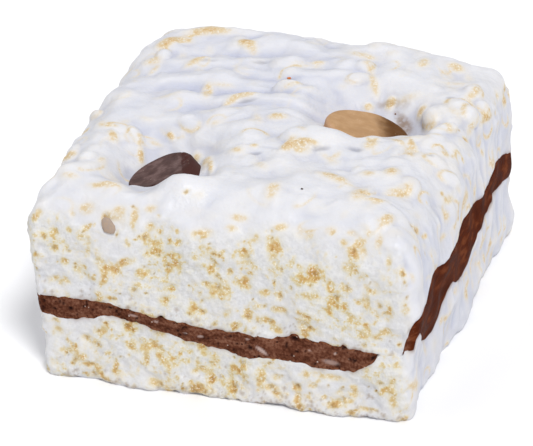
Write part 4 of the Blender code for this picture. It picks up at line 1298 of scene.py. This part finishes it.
def build_crispy_top(material):
    """Upper crispy layer: its sides from the band upwards, then its top. Returns its points and normals."""
    columns = len(places)
    edge = band_edge(BAND_TOP_MM, BAND_TOP_SEED)
    heights = wall_between(edge, BLOCK_HEIGHT, TOP_ROWS)
    side = np.concatenate((ring_points(heights[:2]), ring_points(heights[2:], False)))
    xs = np.linspace(-0.5 * BLOCK_WIDTH, 0.5 * BLOCK_WIDTH, CELLS_X + 1)[1:-1]
    ys = np.linspace(-0.5 * BLOCK_DEPTH, 0.5 * BLOCK_DEPTH, CELLS_Y + 1)[1:-1]
    inner = draw_to_surface(np.array([(x, y, BLOCK_HEIGHT) for x in xs for y in ys]), False)
    points = np.concatenate((side, inner))
    around = np.concatenate((np.tile(places[:, 2], TOP_ROWS + 1), place_of(inner)))
    shell = Shell(points, around)
    add_big_grains(shell)
    add_seen_patches(shell)
    add_gaps(shell)
    scatter_grains(shell, GRAIN_SEED)
    scatter_cells(shell, CELL_SEED)
    above_edge = np.full(len(points), 1.0)
    above_edge[:len(side)] = side[:, 2] - np.tile(edge, TOP_ROWS + 1)
    scatter_specks(shell, above_edge, **SPECKS_ABOVE_BAND)
    closed = is_closed_over(around)
    from_edge = smooth_step(above_edge / EDGE_FADE)
    relief = layer_relief(shell, from_edge, closed)
    relief -= lip(above_edge, 1.0 - closed) + right_back_draw(around) * (1.0 - shell.upward)
    paint_cocoa(shell, above_edge, 1.0 - closed)
    points = points + shell.normals * relief[:, None]
    for button in BUTTONS:
        points = lap_over_button(points, button)
    points = fit_box(points)
    add_coat_dips(shell, points)
    outer_quads = np.concatenate((ring_quads(TOP_ROWS + 1, columns), top_quads()))
    paint_valleys(shell, points, outer_quads, from_edge)
    coat = (points, shell.normals)
    under = [inward(points[:columns], inset, edge + rise) for inset, rise in EDGE_INSETS[::-1]]
    count = len(points)
    rings = np.concatenate((np.arange(2 * columns) + count, np.arange(columns)))
    faces = outer_quads.tolist() + rings[ring_quads(3, columns)].tolist()
    faces += fan(np.arange(columns) + count, count + 2 * columns, False).tolist()
    points = np.concatenate([points] + under + [[(0.0, 0.0, BAND_CORE_TOP)]])
    piece = make_piece("crispy_top_surface", points, faces, padded(shell.paint, 0, 2 * columns + 1), material)
    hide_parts("crispy_top")
    return coat


def place_of(points):
    """Where points lie round the block, 0 to 4, as outline_places counts it."""
    across, along = 2.0 * points[:, 0] / BLOCK_WIDTH, 2.0 * points[:, 1] / BLOCK_DEPTH
    front_or_back = np.abs(along) >= np.abs(across)
    main, other = np.where(front_or_back, (along, across), (across, along))
    ratio = other / np.maximum(np.abs(main), TINY)
    ends = np.where(along < 0.0, 0.5 + 0.5 * ratio, 2.5 - 0.5 * ratio)
    sides = np.where(across > 0.0, 1.5 + 0.5 * ratio, 3.5 - 0.5 * ratio)
    return np.where(front_or_back, ends, sides)


def near_button(centre):
    return any(
        np.linalg.norm(centre - np.array(button["centre"])) < 0.5 * button["diameter"] + BUTTON_CLEARANCE
        for button in BUTTONS)


def paint_cocoa(shell, from_edge, amount):
    """A trace of chocolate on the crispy layers, right next to the band."""
    patchy = smooth_step(ranged(COCOA_PATCHES, field(shell.points, "cocoa")))
    strength = COCOA_STRENGTH * amount * patchy * np.exp(-from_edge / COCOA_REACH)
    shell.cover("cocoa", np.arange(len(shell.points)), strength)


def build_crispy_bottom(material):
    """Lower crispy layer: a flat base with a ragged edge, and sides up to the band."""
    columns = len(places)
    edge = band_edge(BAND_BOTTOM_MM, BAND_BOTTOM_SEED)
    foot = np.column_stack((places[:, :2], np.zeros(columns)))
    ragged = FOOT_MIDDLE + sum(share * field(foot, name) for name, share in FOOT_RAGGED.items())
    lowest = np.clip(ragged, FOOT_LOWEST, None)
    side = ring_points(wall_between(lowest, edge, BOTTOM_ROWS))
    around = np.tile(places[:, 2], BOTTOM_ROWS + 1)
    shell = Shell(side, around)
    add_seen_patches(shell)
    scatter_grains(shell, BOTTOM_GRAIN_SEED)
    scatter_cells(shell, BOTTOM_CELL_SEED)
    below_edge = np.tile(edge, BOTTOM_ROWS + 1) - side[:, 2]
    above_foot = side[:, 2] - np.tile(lowest, BOTTOM_ROWS + 1)
    scatter_specks(shell, above_foot, **SPECKS_AT_FOOT)
    closed = is_closed_over(around)
    from_edge = smooth_step(below_edge / EDGE_FADE)
    relief = layer_relief(shell, from_edge, closed)
    relief -= lip(below_edge, 1.0 - closed) + right_back_draw(around)
    relief -= FOOT_ROUNDING * (1.0 - smooth_step(above_foot / FOOT_ROUNDING_HEIGHT))
    spread_foot = np.exp(-((side[:, 0] - FOOT_X) / FOOT_REACH) ** 2) * on_side(around, FRONT)
    relief += FOOT_SPREAD * spread_foot * (1.0 - smooth_step(above_foot / FOOT_HEIGHT))
    paint_cocoa(shell, below_edge, 1.0 - closed)
    points = fit_box(side + shell.normals * relief[:, None])
    side_quads = ring_quads(BOTTOM_ROWS + 1, columns)
    paint_valleys(shell, points, side_quads, from_edge)
    over = [inward(points[-columns:], inset, edge - drop) for inset, drop in EDGE_INSETS]
    base = points[:columns].copy()
    base_inset = BASE_INSET * BASE_RAGGED * (1.0 + field(foot, "base"))
    base[:, :2] *= (1.0 - base_inset / (0.5 * BLOCK_WIDTH))[:, None]
    base[:, 2] = 0.0
    count = len(points)
    over_rings = np.concatenate((np.arange(columns) + count - columns, np.arange(2 * columns) + count))
    base_rings = np.concatenate((np.arange(columns) + count + 2 * columns, np.arange(columns)))
    faces = side_quads.tolist() + over_rings[ring_quads(3, columns)].tolist()
    faces += fan(np.arange(columns) + count + columns, count + 3 * columns, True).tolist()
    faces += base_rings[ring_quads(2, columns)].tolist()
    faces += fan(np.arange(columns) + count + 2 * columns, count + 3 * columns + 1, False).tolist()
    points = np.concatenate([points] + over + [base, [(0.0, 0.0, BAND_CORE_BOTTOM), (0.0, 0.0, 0.0)]])
    paint = padded(shell.paint, 0, 3 * columns + 2)
    piece = make_piece("crispy_bottom_surface", points, faces, paint, material)
    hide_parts("crispy_bottom")


def front_spot(shell, x, z, half_length, half_width, turn):
    """Points near an oval spot on the front, given in mm and degrees, and how strongly it covers them."""
    centre = draw_to_surface(on_plane("front", x, z)[None, :], True)[0]
    angle = math.radians(turn)
    along = np.array([math.cos(angle), 0.0, math.sin(angle)])
    across = np.array([-math.sin(angle), 0.0, math.cos(angle)])
    oval = (centre, along, across, (MM * half_length, MM * half_width))
    index, radial, _ = shell.near_oval(oval, SPOT_EDGE)
    return index, smooth_step((OVAL_EDGE - radial) / OVAL_FADE)


def build_chocolate(material):
    """Chocolate layer: a porous wall a little behind the crispy layers, running on behind their edges."""
    columns = len(places)
    low = band_edge(BAND_BOTTOM_MM, BAND_BOTTOM_SEED) - CHOCOLATE_OVERLAP
    high = band_edge(BAND_TOP_MM, BAND_TOP_SEED) + CHOCOLATE_OVERLAP
    wall = ring_points(wall_between(low, high, CHOCOLATE_ROWS))
    around = np.tile(places[:, 2], CHOCOLATE_ROWS + 1)
    shell = Shell(wall, around)
    cut = 1.0 - on_smooth_sides(around)
    covered = smooth_step((is_closed_over(around) - COVERED_FROM) / COVERED_FADE)
    to_low = wall[:, 2] - np.tile(low, CHOCOLATE_ROWS + 1)
    to_high = np.tile(high, CHOCOLATE_ROWS + 1) - wall[:, 2]
    from_edge = np.minimum(to_low, to_high)
    relief = CHOCOLATE_RELIEF * field(wall, "chocolate")
    relief += CUT_CHOCOLATE_RELIEF * cut * field(wall, "cut chocolate")
    relief -= ranged((CHOCOLATE_DEPTH, COVERED_DEPTH), covered)
    relief -= CHOCOLATE_RECESS * smooth_step(1.0 - from_edge / CHOCOLATE_OVERLAP) + right_back_draw(around)
    sunk = smooth_step((CHOCOLATE_OVERLAP + SUNK_EDGE - from_edge) / SUNK_EDGE)
    # Pores and pits, sunk and painted dark as shade in them
    chance = np.random.RandomState(PORE_SEED)
    for vertex in chance.randint(0, len(wall), PORE_DRAWS):
        if cut[vertex] > 0.5:
            add_spot(shell, wall[vertex], chance.uniform(*PORE_RADIUS), 1.0, chance.uniform(*PORE_DEPTH))
    pit, pale = shell.paint["pit"], np.zeros(len(wall))
    for x, z, half_length, half_width in CHOCOLATE_PITS_MM:
        index, fall = front_spot(shell, x, z, half_length, half_width, 0.0)
        pit[index] = np.maximum(pit[index], fall)
        shell.lower(index, PIT_DEPTH * fall)
    for x, z, half_length, half_width, turn, strength in PALE_FLECKS_MM:
        index, fall = front_spot(shell, x, z, half_length, half_width, turn)
        pale[index] = np.maximum(pale[index], strength * fall)
    points = fit_box(wall + shell.normals * (relief - shell.sink)[:, None])
    under, over = inward(points[:columns], CORE_INSET, low), inward(points[-columns:], CORE_INSET, high)
    count = len(points)
    faces = ring_quads(CHOCOLATE_ROWS + 3, columns).tolist()
    faces += fan(np.arange(columns), count + 2 * columns, False).tolist()
    faces += fan(np.arange(columns) + count + columns, count + 2 * columns + 1, True).tolist()
    points = np.concatenate((under, points, over, [(0.0, 0.0, BAND_CORE_BOTTOM), (0.0, 0.0, BAND_CORE_TOP)]))
    paint = padded({"cut": cut, "pits": pit, "pale": pale, "edge": sunk}, columns, columns + 2)
    piece = make_piece("chocolate_surface", points, faces, paint, material)
    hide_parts("chocolate_layer")


def lean_matrix(button):
    """Turns +Z towards the side that the button's face leans to, and moves it to its centre."""
    towards = Vector((button["lean_towards"][0], button["lean_towards"][1], 0.0)).normalized()
    axis = Vector((0.0, 0.0, 1.0)).cross(towards)
    turn = Matrix.Rotation(math.radians(button["lean"]), 4, axis)
    return Matrix.Translation(button["centre"]) @ turn


def button_profile(button, dish):
    """Half outline of a button, as (radius, height), from the middle of its underside to that of its face."""
    radius, half, rounding = 0.5 * button["diameter"], 0.5 * button["thickness"], button["rounding"]
    flat = radius - rounding
    profile = [(radius * part, -half) for part in (0.0, 0.5)]
    for first, middle in ((-90.0, rounding - half), (0.0, half - rounding)):
        for step in range(0 if first else 1, ROUNDING_STEPS + 1):
            angle = math.radians(first + 90.0 * step / ROUNDING_STEPS)
            profile.append((flat + rounding * math.cos(angle), middle + rounding * math.sin(angle)))
    for part in np.linspace(FACE_EDGE, 0.0, FACE_RINGS):
        profile.append((flat * part, half - dish * smooth_step((1.0 - part) / DISH_FADE)))
    return profile


def to_the_right():
    """The photograph's right as a direction in plan."""
    azimuth = math.radians(CAMERA_AZIMUTH)
    return np.array((math.cos(azimuth), math.sin(azimuth)))


def towards_right(points):
    """How far points lie from a button's middle towards the photograph's right."""
    return points[:, :2] @ to_the_right()


def button_paint(points, button, far_from, far_reach):
    """Painted values of a button: its side wall, its rim, and the end that points to the photograph's right."""
    radius, half, rounding = 0.5 * button["diameter"], 0.5 * button["thickness"], button["rounding"]
    radial = np.hypot(points[:, 0], points[:, 1]) / radius
    to_right = towards_right(points) + END_UNEVENNESS * field(points, "button end")
    wall = smooth_step((half - WALL_FROM * rounding - points[:, 2]) / (RIM_SHARE * rounding + WALL_FADE))
    rim = RIM_SHARE * np.exp(-((radial - RIM_RADIUS) / RIM_WIDTH) ** 2) * (1.0 - wall)
    return {"wall": wall, "rim": rim, "far": smooth_step((to_right - far_from) / far_reach)}


def build_button(name, node, button, dish, far, broken, material):
    """Round candy button with uneven sides; a broken one has a chipped rim and a wider foot at one end."""
    points, faces = turned_body(button_profile(button, dish), BUTTON_SEGMENTS)
    wobble = BUTTON_WOBBLE * (field(points, "button") + FINE_WOBBLE * field(points, "fine button") - 1.0)
    length = np.maximum(np.linalg.norm(points, axis=1), TINY)
    points = points * (1.0 + wobble / length)[:, None]
    paint = button_paint(points, button, *far)
    if broken:
        upper = points[:, 2] > 0.0
        points[:, 2] -= BROKEN_GROOVE * np.exp(-((paint["far"] - 0.5) / GROOVE_WIDTH) ** 2) * upper
        points[:, 2] += BROKEN_RELIEF * paint["far"] * (points[:, 2] > 0.0) * field(points, "broken rim")
        lower = np.clip((0.5 * button["thickness"] - points[:, 2]) / button["thickness"], 0.0, 1.0)
        flare = FLARE * smooth_step((towards_right(points) - FLARE_FROM) / FLARE_FADE) * lower
        points[:, :2] += flare[:, None] * to_the_right()
    matrix = np.array(lean_matrix(button))
    points = points @ matrix[:3, :3].T + matrix[:3, 3]
    piece = make_piece(name, points, faces, paint, material)
    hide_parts(node)


class Look:
    """A Principled material whose nodes are added one by one."""

    def __init__(self, name, roughness):
        self.material = bpy.data.materials.new(name)
        self.material.use_nodes = True
        self.tree = self.material.node_tree
        self.shader = self.tree.nodes["Principled BSDF"]
        self.shader.inputs["Roughness"].default_value = roughness
        self.place = self.tree.nodes.new("ShaderNodeTexCoord").outputs["Object"]

    def link(self, source, target):
        self.tree.links.new(source, target)

    def attribute(self, name):
        node = self.tree.nodes.new("ShaderNodeAttribute")
        node.attribute_name = name
        return node.outputs["Fac"]

    def noise(self, size, detail=3.0, stretch=None):
        """Noise from about 0 to 1 with lumps of the given size in metres."""
        node = self.tree.nodes.new("ShaderNodeTexNoise")
        node.inputs["Scale"].default_value = 1.0 / size
        node.inputs["Detail"].default_value = detail
        if stretch is None:
            self.link(self.place, node.inputs["Vector"])
        else:
            mapping = self.tree.nodes.new("ShaderNodeMapping")
            mapping.inputs["Scale"].default_value = stretch
            self.link(self.place, mapping.inputs["Vector"])
            self.link(mapping.outputs["Vector"], node.inputs["Vector"])
        return node.outputs["Fac"]

    def cells(self, size):
        """Distance to the nearest of many scattered points, in cells of the given size."""
        node = self.tree.nodes.new("ShaderNodeTexVoronoi")
        node.inputs["Scale"].default_value = 1.0 / size
        self.link(self.place, node.inputs["Vector"])
        return node.outputs["Distance"]

    def math(self, operation, first, second, clamp=False):
        node = self.tree.nodes.new("ShaderNodeMath")
        node.operation = operation
        node.use_clamp = clamp
        for socket, value in zip(node.inputs, (first, second)):
            if isinstance(value, (int, float)):
                socket.default_value = value
            else:
                self.link(value, socket)
        return node.outputs[0]

    def times(self, first, second, clamp=False):
        return self.math("MULTIPLY", first, second, clamp)

    def plus(self, first, second):
        return self.math("ADD", first, second)

    def near(self, place, radius):
        """1 at a place, falling to 0 at about a radius from it."""
        node = self.tree.nodes.new("ShaderNodeVectorMath")
        node.operation = "DISTANCE"
        self.link(self.place, node.inputs[0])
        node.inputs[1].default_value = tuple(place)
        return self.spread(node.outputs["Value"], radius, 0.25 * radius)

    def spread(self, value, low, high, to_low=0.0, to_high=1.0):
        node = self.tree.nodes.new("ShaderNodeMapRange")
        node.interpolation_type = "SMOOTHSTEP"
        self.link(value, node.inputs["Value"])
        for name, number in (("From Min", low), ("From Max", high), ("To Min", to_low), ("To Max", to_high)):
            node.inputs[name].default_value = number
        return node.outputs["Result"]

    def ramp(self, value, stops):
        node = self.tree.nodes.new("ShaderNodeValToRGB")
        elements = node.color_ramp.elements
        while len(elements) < len(stops):
            elements.new(0.5)
        for element, (position, colour) in zip(elements, stops):
            element.position = position
            element.color = (*linear(colour), 1.0)
        self.link(value, node.inputs["Fac"])
        return node.outputs["Color"]

    def mix(self, factor, first, second):
        node = self.tree.nodes.new("ShaderNodeMix")
        node.data_type = "RGBA"
        self.link(factor, node.inputs["Factor"])
        for socket, value in ((node.inputs[6], first), (node.inputs[7], second)):
            if isinstance(value, tuple):
                socket.default_value = (*linear(value), 1.0)
            else:
                self.link(value, socket)
        return node.outputs[2]

    def bump(self, height, strength, distance, below=None):
        node = self.tree.nodes.new("ShaderNodeBump")
        node.inputs["Strength"].default_value = strength
        node.inputs["Distance"].default_value = distance
        self.link(height, node.inputs["Height"])
        if below is not None:
            self.link(below, node.inputs["Normal"])
        return node.outputs["Normal"]


def linear(colour):
    """A colour given as screen values from 0 to 255, as linear light."""
    return tuple(
        ((value / 255.0 + 0.055) / 1.055) ** 2.4 if value > 10 else value / 255.0 / 12.92 for value in colour)


def crispy_material(name, smear_and_shade_spots=()):
    """White marshmallow with the golden tint of the grains, pale where the coat is thick over them."""
    look = Look(name, 0.42)
    mottle = look.noise(0.0017, 4.0)
    fine = look.noise(0.0008, 4.0)
    grit = look.noise(0.00045, 3.0)
    cut, toast = look.attribute("cut"), look.attribute("toast")
    white = look.ramp(look.noise(0.0075, 2.0), ((0.3, (206, 207, 214)), (0.7, (219, 218, 220))))
    # Painted shade in the creases, valleys and gaps, and a painted highlight on the crests
    for painted, strength, colour in COAT_SHADES:
        white = look.mix(look.times(look.attribute(painted), strength), white, colour)
    cut_white = look.ramp(fine, ((0.36, (205, 204, 202)), (0.60, (221, 220, 219))))
    coloured = look.mix(cut, white, cut_white)
    crumb = look.times(look.spread(look.noise(0.0042, 3.0), 0.40, 0.60), cut)
    crumb = look.times(crumb, look.spread(look.noise(0.0013, 3.0), 0.42, 0.66, 0.08, 0.46))
    tone = look.plus(look.times(toast, 0.82), crumb)
    uneven_tone = look.spread(mottle, 0.3, 0.7, -0.22, 0.22)
    uneven_tone = look.plus(uneven_tone, look.spread(fine, 0.3, 0.7, -0.24, 0.24))
    uneven_tone = look.plus(uneven_tone, look.spread(grit, 0.35, 0.65, -0.10, 0.10))
    uneven_tone = look.times(uneven_tone, look.spread(tone, 0.0, 0.65))
    uneven_tone = look.times(uneven_tone, look.spread(cut, 0.0, 1.0, 0.60, 1.0))
    tone = look.plus(tone, uneven_tone)
    beige = look.ramp(tone, (
        (0.12, (219, 211, 197)), (0.40, (211, 192, 158)), (0.70, (200, 167, 116)), (1.00, (184, 142, 88))))
    golden = look.ramp(tone, (
        (0.12, (217, 211, 188)), (0.42, (208, 192, 146)), (0.72, (198, 164, 100)), (1.00, (186, 142, 70))))
    golden = look.mix(cut, beige, golden)
    coloured = look.mix(look.times(tone, 2.8, True), coloured, golden)
    # Painted glints: small painted highlights on the golden parts
    glints = look.times(look.spread(grit, 0.43, 0.34), look.spread(tone, 0.10, 0.40))
    coloured = look.mix(look.times(glints, 0.60), coloured, (240, 238, 230))
    # Painted shade in the pits of the cut faces; the same paint gives the dark crumbs their colour
    pit = look.times(look.attribute("pit"), look.spread(fine, 0.30, 0.55, 0.5, 1.0))
    coloured = look.mix(look.times(pit, 0.66), coloured, (140, 107, 60))
    coloured = look.mix(look.attribute("cocoa"), coloured, (128, 92, 60))
    # Chocolate smears, with painted shade where they lie beside the tan button's right end
    for place, row in zip(smear_and_shade_spots, SMEAR_AND_SHADE_MM):
        smear_and_shade = look.times(look.near(place, MM * row[2]), row[3])
        smear_and_shade = look.times(smear_and_shade, look.spread(fine, 0.30, 0.62, 0.45, 1.0))
        coloured = look.mix(smear_and_shade, coloured, (132, 104, 76))
    look.link(coloured, look.shader.inputs["Base Color"])
    rough = look.plus(look.spread(mottle, 0.3, 0.7, 0.42, 0.53), look.times(cut, 0.10))
    look.link(rough, look.shader.inputs["Roughness"])
    relief = look.bump(look.noise(0.0026, 2.0), 0.40, 0.0005)
    relief = look.bump(fine, 0.45, 0.00024, relief)
    relief = look.bump(look.times(grit, cut), 0.70, 0.00030, relief)
    look.link(relief, look.shader.inputs["Normal"])
    look.shader.inputs["Subsurface Weight"].default_value = 0.12
    look.shader.inputs["Subsurface Radius"].default_value = (1.0, 0.85, 0.65)
    look.shader.inputs["Subsurface Scale"].default_value = 0.0008
    return look.material


def chocolate_material():
    """Dark chocolate, porous with small pale specks where it was cut."""
    look = Look("chocolate", 0.55)
    mottle = look.noise(0.0022, 4.0, (0.6, 0.6, 1.4))
    grain = look.noise(0.0006, 4.0)
    cut = look.attribute("cut")
    shade = look.plus(look.times(grain, 0.5), look.times(mottle, 0.5))
    porous = look.ramp(shade, ((0.38, (68, 36, 24)), (0.50, (96, 57, 42)), (0.62, (126, 86, 68))))
    smooth = look.ramp(mottle, ((0.35, (66, 26, 11)), (0.55, (82, 36, 17)), (0.70, (112, 60, 36))))
    brown = look.mix(cut, smooth, porous)
    fringe = look.times(look.attribute("edge"), look.times(cut, look.spread(grain, 0.4, 0.6)))
    brown = look.mix(look.times(fringe, 0.55), brown, (136, 86, 58))
    specks = look.spread(look.cells(0.0016), 0.14, 0.08)
    specks = look.times(specks, look.spread(look.noise(0.003, 1.0), 0.50, 0.58))
    brown = look.mix(look.times(specks, cut), brown, (196, 178, 168))
    # Painted shade: pores and pits darkened as shade in their hollows
    holes = look.times(look.spread(look.cells(0.0013), 0.20, 0.12), look.spread(mottle, 0.5, 0.6))
    brown = look.mix(look.times(holes, cut), brown, (44, 24, 20))
    brown = look.mix(look.attribute("pits"), brown, (42, 22, 19))
    brown = look.mix(look.attribute("pale"), brown, (182, 158, 150))
    look.link(brown, look.shader.inputs["Base Color"])
    relief = look.bump(look.noise(0.0007, 4.0), 0.7, 0.00025)
    look.link(relief, look.shader.inputs["Normal"])
    look.link(look.spread(mottle, 0.3, 0.7, 0.46, 0.62), look.shader.inputs["Roughness"])
    look.shader.inputs["Specular IOR Level"].default_value = 0.008
    return look.material


def button_material(name, shades, wall_colour, rim_colour, far_colour, roughness):
    """Candy with soft mottling, a rim, a side wall and one end that differ in colour; the tan button's darker
    end is painted shade.
    """
    look = Look(name, roughness)
    mottle = look.noise(0.0026, 3.0)
    fine = look.noise(0.0006, 3.0)
    colour = look.ramp(mottle, tuple(zip((0.36, 0.50, 0.64), shades)))
    grain = look.times(look.spread(fine, 0.40, 0.62), 0.30)
    colour = look.mix(grain, colour, shades[0])
    # The far end: painted shade on the tan button, the colour of the chipped end on the brown one
    far = look.plus(look.attribute("far"), look.spread(mottle, 0.3, 0.7, -0.25, 0.25))
    colour = look.mix(look.times(look.spread(far, 0.0, 0.8), look.attribute("far")), colour, far_colour)
    colour = look.mix(look.attribute("wall"), colour, wall_colour)
    colour = look.mix(look.attribute("rim"), colour, rim_colour)
    # Painted glints: small painted highlights on the candy
    glints = look.times(look.spread(look.cells(0.0011), 0.13, 0.08), look.spread(mottle, 0.48, 0.56))
    colour = look.mix(look.times(glints, 0.45), colour, (214, 196, 176))
    look.link(colour, look.shader.inputs["Base Color"])
    relief = look.bump(look.noise(0.0022, 3.0), 0.45, 0.00020)
    relief = look.bump(fine, 0.25, 0.00008, relief)
    look.link(relief, look.shader.inputs["Normal"])
    rough = look.spread(mottle, 0.3, 0.7, roughness - 0.06, roughness + 0.10)
    look.link(rough, look.shader.inputs["Roughness"])
    look.shader.inputs["Specular IOR Level"].default_value = 0.06
    return look.material


def make_floor():
    mesh = bpy.data.meshes.new("floor")
    corners = [(x * FLOOR_HALF, y * FLOOR_HALF, 0.0) for x, y in ((-1, -1), (1, -1), (1, 1), (-1, 1))]
    mesh.from_pydata(corners, [], [(0, 1, 2, 3)])
    floor = bpy.data.objects.new("floor", mesh)
    bpy.context.scene.collection.objects.link(floor)
    look = Look("floor", 0.7)
    colour = look.ramp(look.noise(0.05), ((0.3, (246, 246, 247)), (0.7, (249, 249, 250))))
    look.link(colour, look.shader.inputs["Base Color"])
    mesh.materials.append(look.material)


def make_sun(name, azimuth, elevation, strength, spread):
    """A soft lamp far away, placed round the object as the camera is."""
    data = bpy.data.lights.new(name, "SUN")
    data.energy = strength
    data.angle = math.radians(spread)
    lamp = bpy.data.objects.new(name, data)
    turn, rise = math.radians(azimuth), math.radians(elevation)
    towards = Vector((math.sin(turn) * math.cos(rise), -math.cos(turn) * math.cos(rise), math.sin(rise)))
    lamp.rotation_euler = towards.to_track_quat("Z", "Y").to_euler()
    bpy.context.scene.collection.objects.link(lamp)


def make_lights():
    """A white studio tent with one soft main lamp and weaker ones at both sides and behind."""
    world = bpy.data.worlds.new("studio")
    world.use_nodes = True
    background = world.node_tree.nodes["Background"]
    background.inputs["Color"].default_value = (0.96, 0.97, 1.0, 1.0)
    background.inputs["Strength"].default_value = 0.440
    bpy.context.scene.world = world
    make_sun("main_lamp", 38.0, 54.0, 2.14, 14.0)
    make_sun("left_lamp", -70.0, 42.0, 0.32, 60.0)
    make_sun("right_lamp", 95.0, 25.0, 0.16, 60.0)
    make_sun("back_lamp", 200.0, 50.0, 0.5, 50.0)


def make_camera():
    back, right, up = camera_axes()
    target = Vector((shift[0], shift[1], CAMERA_TARGET_HEIGHT))
    data = bpy.data.cameras.new("camera")
    data.sensor_width = SENSOR_WIDTH
    data.lens = CAMERA_FOCAL_PX * SENSOR_WIDTH / IMAGE_WIDTH
    data.shift_x = -CAMERA_SHIFT_PX[0] / IMAGE_WIDTH
    data.shift_y = CAMERA_SHIFT_PX[1] / IMAGE_WIDTH
    camera = bpy.data.objects.new("camera", data)
    axes = Matrix((right, up, back)).transposed().to_4x4()
    camera.matrix_world = Matrix.Translation(target + back * CAMERA_DISTANCE) @ axes
    bpy.context.scene.collection.objects.link(camera)
    bpy.context.scene.camera = camera


shift = block_shift()
places = outline_places()
bpy.context.scene.view_settings.view_transform = "Standard"
make_camera()
make_lights()
make_floor()
smear_and_shade_places = sight_places([("top", *row) for row in SMEAR_AND_SHADE_MM]) + shift
marshmallow = crispy_material("marshmallow", smear_and_shade_places)
coat = build_crispy_top(marshmallow)
build_crispy_bottom(crispy_material("cut_marshmallow"))
build_chocolate(chocolate_material())
brown_candy = button_material("brown_candy", **BROWN_CANDY)
tan_candy = button_material("tan_candy", **TAN_CANDY)
build_button(
    "brown_button", "chocolate_button", CHOCOLATE_BUTTON, 0.00015, (0.0046, 0.0007), True, brown_candy)
# The tan button's far end is darkened as painted shade
build_button("tan_button", "caramel_button", CARAMEL_BUTTON, 0.0, (-0.0006, 0.0062), False, tan_candy)
build_flecks(coat, fleck_material())
